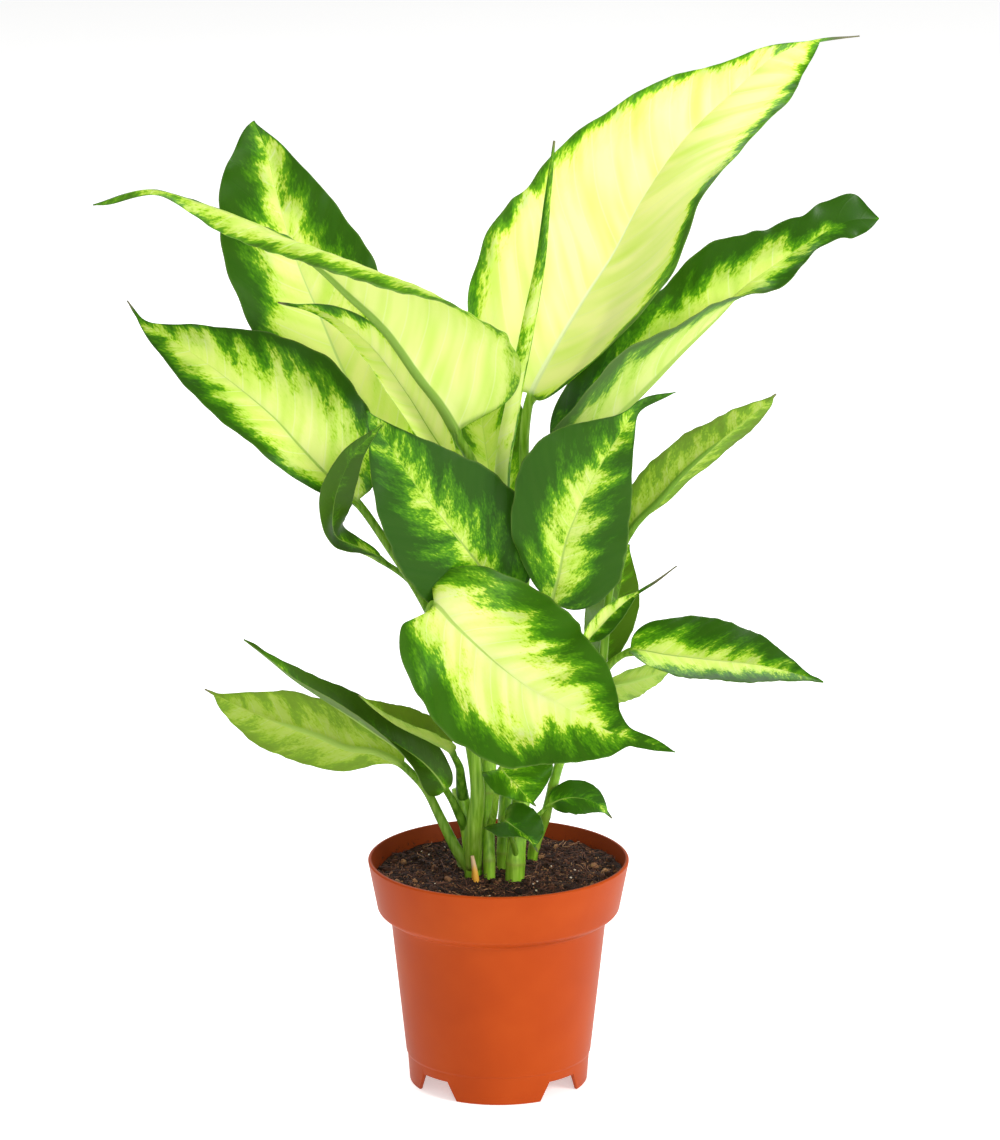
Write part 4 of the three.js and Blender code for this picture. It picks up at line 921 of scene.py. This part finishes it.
        rib=[(-21, -25, 165), (-31, -31, 172), (-45, -36, 180), (-55, -39, 188), (-63, -42, 196)],
        girth=(3, 1.5), face=[(0.3, -0.3, 0.9)], half=(9, 11), widest=(0.4, 0.4), tail=(2, 0.8, 0.8),
        wave=0.3, fold=([50, 50, 40], [35, 35, 30]), cream=([1.2, 1.2], [-0.4, -0.4]), age=0.95,
        fade_and_painted_light=0.55, line=(0.5, 0.6, 0.7)),
    "leaf_small_under_front": dict(
        stalk=[(-4, -7, 122), (-2, -14, 132), (-1, -20, 142), (0, -24, 150)],
        rib=[(1, -27, 157), (4, -30, 154), (8, -34, 151), (12, -37, 147), (17, -40, 143)],
        girth=(2, 1.2), face=[(0, -0.9, 0.5)], half=(19, 9.8), widest=(0.6, 0.25), base=(0.6, 0.5),
        taper=(0.5, 1.3), lobe=(0.1, 2.2), tail=(2, 0.8, 0.8), wave=0.4, fold=alike([12, 10, 8]),
        roll=alike([-10, -10, 0]), cream=alike([0.1, -0.1, -0.2]), age=0, line=(0.5, 0.6, 0.6)),
    "leaf_small_heart": dict(
        stalk=[(8, -14, 106), (8, -17, 113), (6, -20, 121), (4, -22, 127)],
        rib=[(3, -24, 131), (7, -27, 129), (13, -30, 125), (18, -33, 119)],
        girth=(1.8, 1), face=[(0, -0.8, 0.6)], half=(12, 10), widest=(0.35, 0.22), base=(0.3, 0.5),
        taper=(0.55, 2.5), lobe=(0.5, 2.8), tail=(3, 0.8, 0.8), wave=0.2,
        fold=([15, 12, 8], [10, 45, 65]), roll=alike([-20, -10, 0]), cream=alike([-0.5]), age=0.6,
        line=(0.5, 0.6, 0.6)),
    "leaf_small_right": dict(
        stalk=[(9, -12, 118), (14, -6, 124)],
        rib=[(24, -2, 132), (32, -2, 135), (41, -2, 134), (47, -3, 131), (52, -4, 126)],
        girth=(1.6, 1), face=[(0, -0.7, 0.7)], half=(9, 9), widest=(0.45, 0.45), lobe=(0.1, 0.1),
        tail=(3, 0.8, 0.8), wave=0.2, fold=alike([12, 10, 8]), roll=alike([-10, -10, 0]),
        cream=alike([-0.5]), age=0.5, line=(0.5, 0.6, 0.6)),
}
BLADE_THICKNESS = 0.6
THINNEST_TAIL = 0.6
TAIL_START = 0.8
STALK_BLEND = 7
SEAT_LENGTH = 18
GROOVE_DEPTH, GROOVE_WIDTH = 0.06, 1.1
EDGE_THINNESS = 0.45
NO_LINE = -1
BLADE_STEP = 1.7
STALK_STEP = 3
TAIL_STEP = 1.2
SECTION_PIECES = 8
RIB_COLUMNS = [0, 0.7, 1.5, 2.6, 4.2]
WIDEST_COLUMN = 2.6
EDGE_COLUMNS = [0.965, 0.985, 1.0]
FACE_EVENNESS = 9
FOLD_EVENNESS = 8

# Along the edge: waves, the ruffles on them and the bays in the outline, as counts along
# the blade. Between the side veins the blade puffs up, and under it they stand out.
WAVES = 3.5
RUFFLES = 3.3 * WAVES
RUFFLE_SHARE = 0.55
WIDE_BAYS, SMALL_BAYS = 4.7, 10.3
BAY_DEPTH = 0.013
RIPPLE_HEIGHT = 0.35
VEIN_COUNT = 13
NARROWEST_FIELD, WIDEST_FIELD = 4.5, 13
VEIN_LEAN, VEIN_BEND = 0.78, 0.32
PUFF_SHARE, PUFF_EDGE = 0.028, 0.2
VEIN_RELIEF, VEIN_WIDTH = 0.16, 0.1

# The pattern: how far the green licks in, how it closes over edge and tip, and how far the
# patches shift from half to half and from leaf to leaf, so that no two are alike
FLAME_REACH = 0.85
GREEN_EDGE = 1.5
GREEN_TIP = 1.6
HALF_SHIFT = 40
LEAF_SHIFT = 7


def along_row(values, share):
    """The value at a share of the way along an evenly spaced row."""
    return np.interp(np.clip(share, 0, 1), np.linspace(0, 1, len(values)), values)


def smoothly(values, distances, width):
    """Numbers along the leaf, evened out over a length, so that no crease is left."""
    nearness = np.exp(-((distances[:, None] - distances[None]) / width) ** 2) * np.gradient(distances)
    return (nearness @ values) / nearness.sum(axis=1).reshape(-1, *[1] * (values.ndim - 1))


def smooth_step(low, high, values):
    """From 0 at low to 1 at high, without a corner."""
    share = np.clip((values - low) / (high - low), 0, 1)
    return share * share * (3 - 2 * share)


def half_width(leaf, hand, t):
    """How wide one half of a blade is, from its base at 0 to its end at 1."""
    half, widest, base, taper = (leaf[key][hand] for key in ("half", "widest", "base", "taper"))
    before = half * (1 - (1 - np.clip(t / widest, 0, 1)) ** 2) ** base
    rest = np.clip((t - widest) / (1 - widest), 0, 1)
    return np.where(t < widest, before, half * (1 - rest) ** taper * (1 + taper * rest))


def half_section(fold, roll, reach):
    """How far out and up a place on a half blade lies, and how steeply it climbs there."""
    middles = reach * (np.arange(SECTION_PIECES) + 0.5) / SECTION_PIECES
    angles = np.radians(fold[:, None] + roll[:, None] * middles ** 2)
    out = np.cos(angles).mean(axis=1) * reach
    up = np.sin(angles).mean(axis=1) * reach
    return out, up, np.radians(fold + roll * reach ** 2)


def column_places(widest):
    """Where the points across a half blade lie, close together at the rib and at the edge."""
    near = [c / widest for c in RIB_COLUMNS if c < 0.5 * widest]
    count = max(5, int(widest / WIDEST_COLUMN))
    rest = np.linspace(near[-1], EDGE_COLUMNS[0], count + 1)[1:]
    return np.concatenate([near, rest, EDGE_COLUMNS[1:]])


def row_places(base, blade_end, tail_length):
    """Where the rings along a leaf lie, closer together at both ends of its blade."""
    length = blade_end - base
    stalk = np.linspace(0, base, max(8, int(base / STALK_STEP)), endpoint=False)
    opening = np.linspace(base - STALK_BLEND, base, 8, endpoint=False)
    even = np.linspace(0, 1, max(36, int(length / BLADE_STEP)))
    blade = base + (0.55 * even + 0.45 * (1 - np.cos(np.pi * even)) / 2) * length
    rows = [stalk[stalk < base - STALK_BLEND], opening, blade]
    if tail_length:
        tail_rows = max(2, int(tail_length / TAIL_STEP))
        rows.append(blade_end + tail_length * np.linspace(0, 1, tail_rows)[1:])
    return np.concatenate(rows)


def edge_bays(t, hand, reach, order):
    """Shallow bays in the outline, as a share of the half width."""
    wide = np.sin(2 * np.pi * (WIDE_BAYS * t + 0.37 * order + 0.5 * hand))
    small = 0.7 * np.sin(2 * np.pi * (SMALL_BAYS * t + 0.61 * order))
    return BAY_DEPTH * reach ** 3 * (wide + small)


def edge_waves(t, hand, reach, order, width):
    """The edge's waves, and the ruffles on them towards the tip; lower where the blade is narrow."""
    waves = reach ** 2 * np.sin(2 * np.pi * WAVES * t + 2 * hand) * np.minimum(1, width / 10)
    ruffles = RUFFLE_SHARE * reach ** 4 * np.sin(2 * np.pi * RUFFLES * t + order)
    return waves + ruffles * smooth_step(0.55, 0.95, t) * np.minimum(1, width / 8)


def leaf_piece(name, leaf, order):
    """One leaf from the foot of its stalk to its tip, with the marks that its colours follow."""
    spine = spine_through([*leaf["stalk"], *leaf["rib"]])
    base = spine[1][SPAN_SAMPLES * len(leaf["stalk"])]
    tail_length = leaf["tail"][0]
    blade_end = spine[1][-1] - tail_length
    length = blade_end - base
    field = min(WIDEST_FIELD, max(NARROWEST_FIELD, length / VEIN_COUNT))
    foot_girth, blade_girth = leaf["girth"]

    distances = row_places(base, blade_end, tail_length)
    t = (distances - base) / length
    to_tip = np.clip(1 - t, 0, 1)
    on_blade = distances >= base
    heading = heading_on(spine, distances)
    centre = place_on(spine, distances)
    facing = np.column_stack([along_row([v[axis] for v in leaf["face"]], t) for axis in range(3)])
    normal, side = frame_across(heading, smoothly(facing, distances, FACE_EVENNESS))

    # The blade is never narrower than the stalk at its base or the tail's thin end
    at_base = blade_girth + (THINNEST_TAIL - blade_girth) * np.clip(3 * t, 0, 1)
    at_base = at_base * (1 - 0.55 * smooth_step(1, 1.02 + tail_length / length, t))
    spent = np.clip((distances - blade_end) / max(tail_length, 1), 0, 1)
    keel = (2 * blade_girth - BLADE_THICKNESS) * to_tip ** 1.3
    keel_width = 0.75 * blade_girth * to_tip ** 0.6 + 0.35
    line_width, line_end, line_tone = leaf["line"]
    line_above = np.maximum(NO_LINE, line_width * (1 - t / line_end))
    line_below = np.maximum(NO_LINE, keel_width - 2 * smooth_step(0.5, 0.9, t))

    reaches = column_places(max(leaf["half"]))
    columns = np.concatenate([-reaches[:0:-1], reaches])
    upper, lower, marks = [], [], {key: [] for key in ("vein_line", "from_rib", "past_cream", "rim")}
    for column in columns:
        hand, sign, reach = (0, -1, -column) if column < 0 else (1, 1, column)
        full = half_width(leaf, hand, t)
        drawn_out = leaf["tail"][1 + hand] * smooth_step(TAIL_START, 1, t) * (1 - spent ** 2)
        bays = edge_bays(t, hand, reach, order)
        width = np.hypot(np.maximum(at_base, drawn_out), full) * (1 + bays)
        from_rib = width * reach

        # Side veins leave the rib and bend towards the tip, and the fields between puff up
        vein_line = (distances - base - VEIN_LEAN * from_rib - VEIN_BEND * from_rib * reach) / field
        nearest = np.abs((vein_line + 0.5) % 1 - 0.5)
        inland = np.sin(np.pi * min(1, reach / 0.98)) ** 0.7
        inland = inland * smooth_step(0.01, 0.1, t) * smooth_step(1, 0.85, t)
        between = 1 - np.exp(-(nearest / PUFF_EDGE) ** 2)
        puffed = PUFF_SHARE * field * inland * between * np.minimum(1, full / 15)
        raised_vein = VEIN_RELIEF * inland * np.exp(-(nearest / VEIN_WIDTH) ** 2)

        waves = leaf["wave"] * edge_waves(t, hand, reach, order, width)
        ripple = RIPPLE_HEIGHT * reach ** 6 * np.sin(2 * np.pi * vein_line + order)
        ripple = ripple * np.minimum(1, full / 20)
        groove = GROOVE_DEPTH * to_tip * np.exp(-(from_rib / GROOVE_WIDTH) ** 2)

        fold = smoothly(along_row(leaf["fold"][hand], t), distances, FOLD_EVENNESS)
        roll = smoothly(along_row(leaf["roll"][hand], t), distances, FOLD_EVENNESS)
        out, up, slope = half_section(fold, roll, reach)
        before_widest = np.clip(1 - t / leaf["widest"][hand], 0, 1)
        set_back = leaf["lobe"][hand] * full * reach * before_widest ** 2
        height = width * up + waves + ripple + puffed - groove
        place = (centre - heading * set_back[:, None] + side * (sign * width * out)[:, None]
                 + normal * height[:, None])
        outward = normal * np.cos(slope)[:, None] - side * (sign * np.sin(slope))[:, None]
        half_thick = BLADE_THICKNESS / 2 * (1 - 0.25 * reach ** 2) * (EDGE_THINNESS if reach == 1 else 1)
        belly = keel * np.exp(-(from_rib / keel_width) ** 2) + raised_vein
        upper.append(place + outward * half_thick)
        lower.append(place - outward * (half_thick + belly)[:, None])

        # How far past the cream tissue a place lies; edge and tip are green on most leaves
        cream = along_row(leaf["cream"][hand], t)
        flame = FLAME_REACH * leaf["flame"] * leaf["half"][hand] + 1
        green_edge = GREEN_EDGE * smooth_step(0.8, 1, reach) * np.clip(1.2 - cream, 0, 1)
        green_tip = GREEN_TIP * smooth_step(0.94, 1.03, t)
        marks["vein_line"].append(vein_line + HALF_SHIFT * hand + LEAF_SHIFT * order)
        marks["from_rib"].append(from_rib)
        marks["past_cream"].append((from_rib - cream * width) / flame + green_edge + green_tip)
        # The edge band, where every leaf gets a thin painted highlight
        marks["rim"].append(np.full(len(t), float(smooth_step(0.975, 1, reach))))
    rings = np.stack(upper + lower[::-1], axis=1)
    both = {key: np.stack(rows + rows[::-1], axis=1) for key, rows in marks.items()}
    below = np.concatenate([np.zeros(len(columns)), np.ones(len(columns))])

    # The round stalk runs up behind the blade and flattens into it
    radius = blade_girth + (foot_girth - blade_girth) * np.clip(1 - distances / base, 0, 1) ** 1.5
    seat = smooth_step(base - SEAT_LENGTH, base, distances) * (radius - BLADE_THICKNESS / 2)
    stalk_middle = centre - normal * seat[:, None]
    round_part = round_rings(stalk_middle, heading, facing[:1], radius, 2 * len(columns))
    flat = smooth_step(base - STALK_BLEND, base, distances)[:, None, None]
    rings = np.where(on_blade[:, None, None], rings, round_part * (1 - flat) + rings * flat)

    dried = smooth_step(1.0, 1.01 + 0.6 * tail_length / length, t)[:, None]
    thin_tail = max(leaf["tail"][1:]) < 1
    return skin_over(name + "_blade", rings, {
        **both,
        "underside": below[None] * on_blade[:, None],
        "rib_reach": np.where(below[None] > 0.5, line_below[:, None], line_above[:, None]),
        "rib_tone": line_tone,
        "stalk": (1 - smooth_step(base - 1, base + 3, distances))[:, None],
        "age": leaf["age"], "fade_and_painted_light": leaf["fade_and_painted_light"], "dry_tip": dried * thin_tail,
    })


# Variegated leaf: a waxy, glossy skin over cream tissue without leaf green at the rib and
# full green at the edge. The green licks inwards between the side veins and breaks into
# blotches, the underside is paler and duller, and light shines through the thin blade.
MARKS = (
    "vein_line", "from_rib", "past_cream", "rib_reach", "rib_tone", "rim", "underside", "stalk", "age",
    "fade_and_painted_light", "dry_tip",
)
variegated_leaf, tree = bare_material("variegated_leaf")
mark = {label: point_mark(tree, label) for label in MARKS}


def tissue_patches(along_veins, out_from_rib, amount, detail, roughness):
    """Patches that lie between the side veins and stretch outwards, from -amount to amount."""
    patch_place = add_node(tree, "ShaderNodeCombineXYZ", {
        "X": maths(tree, "MULTIPLY", mark["vein_line"], along_veins),
        "Y": maths(tree, "MULTIPLY", mark["from_rib"], out_from_rib), "Z": mark["underside"],
    })
    patches = mottle(tree, patch_place, 1, detail, roughness)
    return rescaled(tree, patches, (0.28, 0.72), (-amount, amount), clamp=False)


flames = tissue_patches(along_veins=0.75, out_from_rib=0.06, amount=1.0, detail=0, roughness=0.5)
licks = tissue_patches(along_veins=2.0, out_from_rib=0.17, amount=1.05, detail=3, roughness=0.62)
blotches = tissue_patches(along_veins=6.5, out_from_rib=0.9, amount=0.65, detail=2, roughness=0.6)
pushed = maths(tree, "ADD", flames, maths(tree, "ADD", licks, blotches))
greenness = maths(tree, "ADD", mark["past_cream"], pushed)
on_ramp = rescaled(tree, greenness, (-4, 2))
fresh = ramp(tree, on_ramp, [
    (0.0, "#fcfebc"), (0.47, "#f8fea8"), (0.58, "#eafa74"), (0.65, "#cce840"), (0.68, "#9ed02a"),
    (0.72, "#78b81a"), (0.82, "#5fa010"), (0.93, "#4b860c"), (1.0, "#447a0c"),
])
mature = ramp(tree, on_ramp, [
    (0.0, "#ecf590"), (0.4, "#dcf066"), (0.56, "#bcdf40"), (0.64, "#94c824"), (0.68, "#70ae14"),
    (0.73, "#54960c"), (0.84, "#3c780a"), (0.94, "#30640a"), (1.0, "#2a560a"),
])
aged = laid_over(tree, mark["age"], fresh, mature)

# Cream tissue isn't even: soft greener washes run outwards along the side veins
wash_place = add_node(tree, "ShaderNodeCombineXYZ", {
    "X": maths(tree, "MULTIPLY", mark["vein_line"], 1.3),
    "Y": maths(tree, "MULTIPLY", mark["from_rib"], 0.03), "Z": 5,
})
wash_share = rescaled(tree, mottle(tree, wash_place, scale=1, detail=1), (0.4, 0.72), (0, 0.6))
washed = laid_over(tree, wash_share, aged, paint("#dcf47c"), kind="MULTIPLY")

# Side veins are fine pale lines in the cream tissue, lost in the green
from_field = maths(tree, "SUBTRACT", maths(tree, "FRACT", mark["vein_line"]), 0.5)
on_vein = rescaled(tree, maths(tree, "ABSOLUTE", from_field), (0.44, 0.5), (0, 0.45), kind="SMOOTHSTEP")
in_cream = rescaled(tree, greenness, (-1.2, -0.2), (1, 0))
veined = laid_over(tree, maths(tree, "MULTIPLY", on_vein, in_cream), washed, paint("#f6facb"))

# The underside is paler and greyer than the face, most of all on an old leaf, and the
# pattern of some leaves fades into one even, lighter green: partly a leaf that grew in the
# shade, partly painted light that lifts leaves lying in shade.
pale_by_age = rescaled(tree, mark["age"], (0.3, 1), (0.05, 0.52), kind="SMOOTHSTEP")
pale_share = maths(tree, "MULTIPLY", mark["underside"], pale_by_age)
backed = laid_over(tree, pale_share, veined, paint("#96b070"))
faded_and_painted_light_colour = laid_over(tree, mark["fade_and_painted_light"], backed, paint("#9ab630"))

# The rib is a line that narrows towards the tip, pale on a young leaf and green on others
past_rib = maths(tree, "SUBTRACT", mark["from_rib"], mark["rib_reach"])
rib_share = rescaled(tree, past_rib, (-0.35, 0.15), (0.9, 0))
rib_colour = ramp(tree, mark["rib_tone"], [(0.0, "#fbfee4"), (0.5, "#bdd86c"), (1.0, "#54900e")])
ribbed = laid_over(tree, rib_share, faded_and_painted_light_colour, rib_colour)
# A thin pale line along every leaf edge is a painted highlight
rimmed = laid_over(tree, maths(tree, "MULTIPLY", mark["rim"], 0.3), ribbed, paint("#a5c462"))

# The stalk is green with fine lengthwise streaks, and a drawn-out tip dries brown
leaf_place = object_place(tree)
lengthwise = add_node(tree, "ShaderNodeMapping", {"Vector": leaf_place, "Scale": (600, 600, 40)})
stalk_streaks = mottle(tree, lengthwise, scale=1, detail=3)
young_stalk = ramp(tree, stalk_streaks, [(0.32, "#74a420"), (0.5, "#92be38"), (0.7, "#b2d45c")])
old_stalk = ramp(tree, stalk_streaks, [(0.32, "#3c6a10"), (0.5, "#548618"), (0.7, "#76a430")])
stalk_colour = laid_over(tree, mark["age"], young_stalk, old_stalk)
stalked = laid_over(tree, mark["stalk"], rimmed, stalk_colour)
leaf_colour = laid_over(tree, maths(tree, "MULTIPLY", mark["dry_tip"], 0.8), stalked, paint("#8d7f68"))

leaf_relief = maths(tree, "MULTIPLY_ADD", mottle(tree, leaf_place, scale=1400), 0.35, on_vein)
leaf_skin = add_node(tree, "ShaderNodeBsdfPrincipled", {
    "Base Color": leaf_colour, "Roughness": rescaled(tree, mark["underside"], (0, 1), (0.36, 0.6)),
    "IOR": 1.45, "Specular IOR Level": 0.28,
    "Normal": bump(tree, leaf_relief, strength=0.25, distance=0.0003),
})
shine_through = add_node(tree, "ShaderNodeBsdfTranslucent", {"Color": leaf_colour})
leaf_shader = add_node(tree, "ShaderNodeMixShader", {0: 0.42, 1: leaf_skin, 2: shine_through})
add_node(tree, "ShaderNodeOutputMaterial", {"Surface": leaf_shader})

for order, (name, leaf) in enumerate(LEAVES.items()):
    blade = leaf_piece(name, {**PLAIN_LEAF, **leaf}, order)
    blade.data.materials.append(variegated_leaf)
    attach(blade, "root")
    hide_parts(name)


# Spear: the newest leaf, still rolled into a slender cone that stands up in the middle,
# with the free edge of its blade running up the front.
SPEAR_POINTS = [
    (3, 20, 225), (3, 17, 241), (3, 10, 264), (2, 3, 289), (7, 0, 322), (13, 0, 354), (19, 3, 386),
    (22, 6, 413), (25, 8, 440),
]
SPEAR_RADII = [2.9, 3.3, 3.8, 4.2, 3.6, 3.4, 2.6, 1.7, 0.6]
SPEAR_RINGS = 160
SPEAR_SIDES = 48
SPEAR_STEP = 0.16
ROLLED_WIDTH = 34
spine = spine_through(SPEAR_POINTS)
distances = np.linspace(0, spine[1][-1], SPEAR_RINGS)
grown = (distances / spine[1][-1])[:, None]
radii = along_row(SPEAR_RADII, grown)
turned = (np.arange(SPEAR_SIDES) + 0.5) / SPEAR_SIDES
free_edge = 0.32 + 0.12 * grown
rolled = (turned[None] - free_edge) % 1
rings = round_rings(
    place_on(spine, distances), heading_on(spine, distances), FRONT,
    radii * (1 - SPEAR_STEP + SPEAR_STEP * rolled), SPEAR_SIDES)
spear = skin_over("leaf_spear_roll", rings, {
    "vein_line": grown * 16 - rolled * 1.4,
    "from_rib": rolled * ROLLED_WIDTH,
    "past_cream": 0.9 - 2.2 * rolled - 0.5 * (1 - grown) + GREEN_TIP * smooth_step(0.5, 1, grown),
    # The spear's free edge gets a thin painted highlight too
    "rib_reach": NO_LINE, "rib_tone": 0, "rim": smooth_step(0.97, 1, rolled) * 0.6, "underside": 0.7,
    "stalk": 1 - smooth_step(0.05, 0.4, grown), "dry_tip": smooth_step(0.97, 1, grown),
    "age": 0.25, "fade_and_painted_light": 0,
})
spear.data.materials.append(variegated_leaf)
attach(spear, "root")
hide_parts("leaf_spear")


# Floor and light: a plain white studio table under broad soft lamps, the key high on the
# right, a weaker one in front, and one behind that shines through the leaves.
TABLE_REACH = 9000
table_corners = [(x * TABLE_REACH, y * TABLE_REACH, 0) for x, y in ((-1, -1), (1, -1), (1, 1), (-1, 1))]
floor = mesh_piece("floor", table_corners, [(0, 1, 2, 3)], smooth=False)
matt_white_table, tree = bare_material("matt_white_table")
table_cloud = mottle(tree, object_place(tree), scale=3)
give_surface(tree, {
    "Base Color": ramp(tree, table_cloud, [(0.0, "#f4f4f3"), (1.0, "#f8f8f7")]), "Roughness": 0.9,
    "Specular IOR Level": 0.1, "Emission Color": paint("#ffffff"), "Emission Strength": 0.46,
})
floor.data.materials.append(matt_white_table)

LIT_MIDDLE = Vector((0, 0, 0.25))
WORLD_STRENGTH = 0.45
STUDIO_LAMPS = {
    "key_right": dict(place=(1.4, -1.1, 1.1), size=0.8, watts=28),
    "fill_front": dict(place=(0.3, -2.2, 0.9), size=1.2, watts=15),
    "back_top": dict(place=(-0.4, 1.1, 1.6), size=1.6, watts=26),
}
for name, lamp in STUDIO_LAMPS.items():
    light = bpy.data.lights.new(name, "AREA")
    light.shape = "DISK"
    light.size = lamp["size"]
    light.energy = lamp["watts"]
    stand = bpy.data.objects.new(name, light)
    stand.location = lamp["place"]
    aim = LIT_MIDDLE - Vector(lamp["place"])
    stand.rotation_euler = aim.to_track_quat("-Z", "Y").to_euler()
    scene.collection.objects.link(stand)

studio = bpy.data.worlds.new("white_studio")
studio.use_nodes = True
background = studio.node_tree.nodes["Background"]
background.inputs["Color"].default_value = paint("#ffffff")
background.inputs["Strength"].default_value = WORLD_STRENGTH
scene.world = studio
scene.view_settings.view_transform = "Standard"
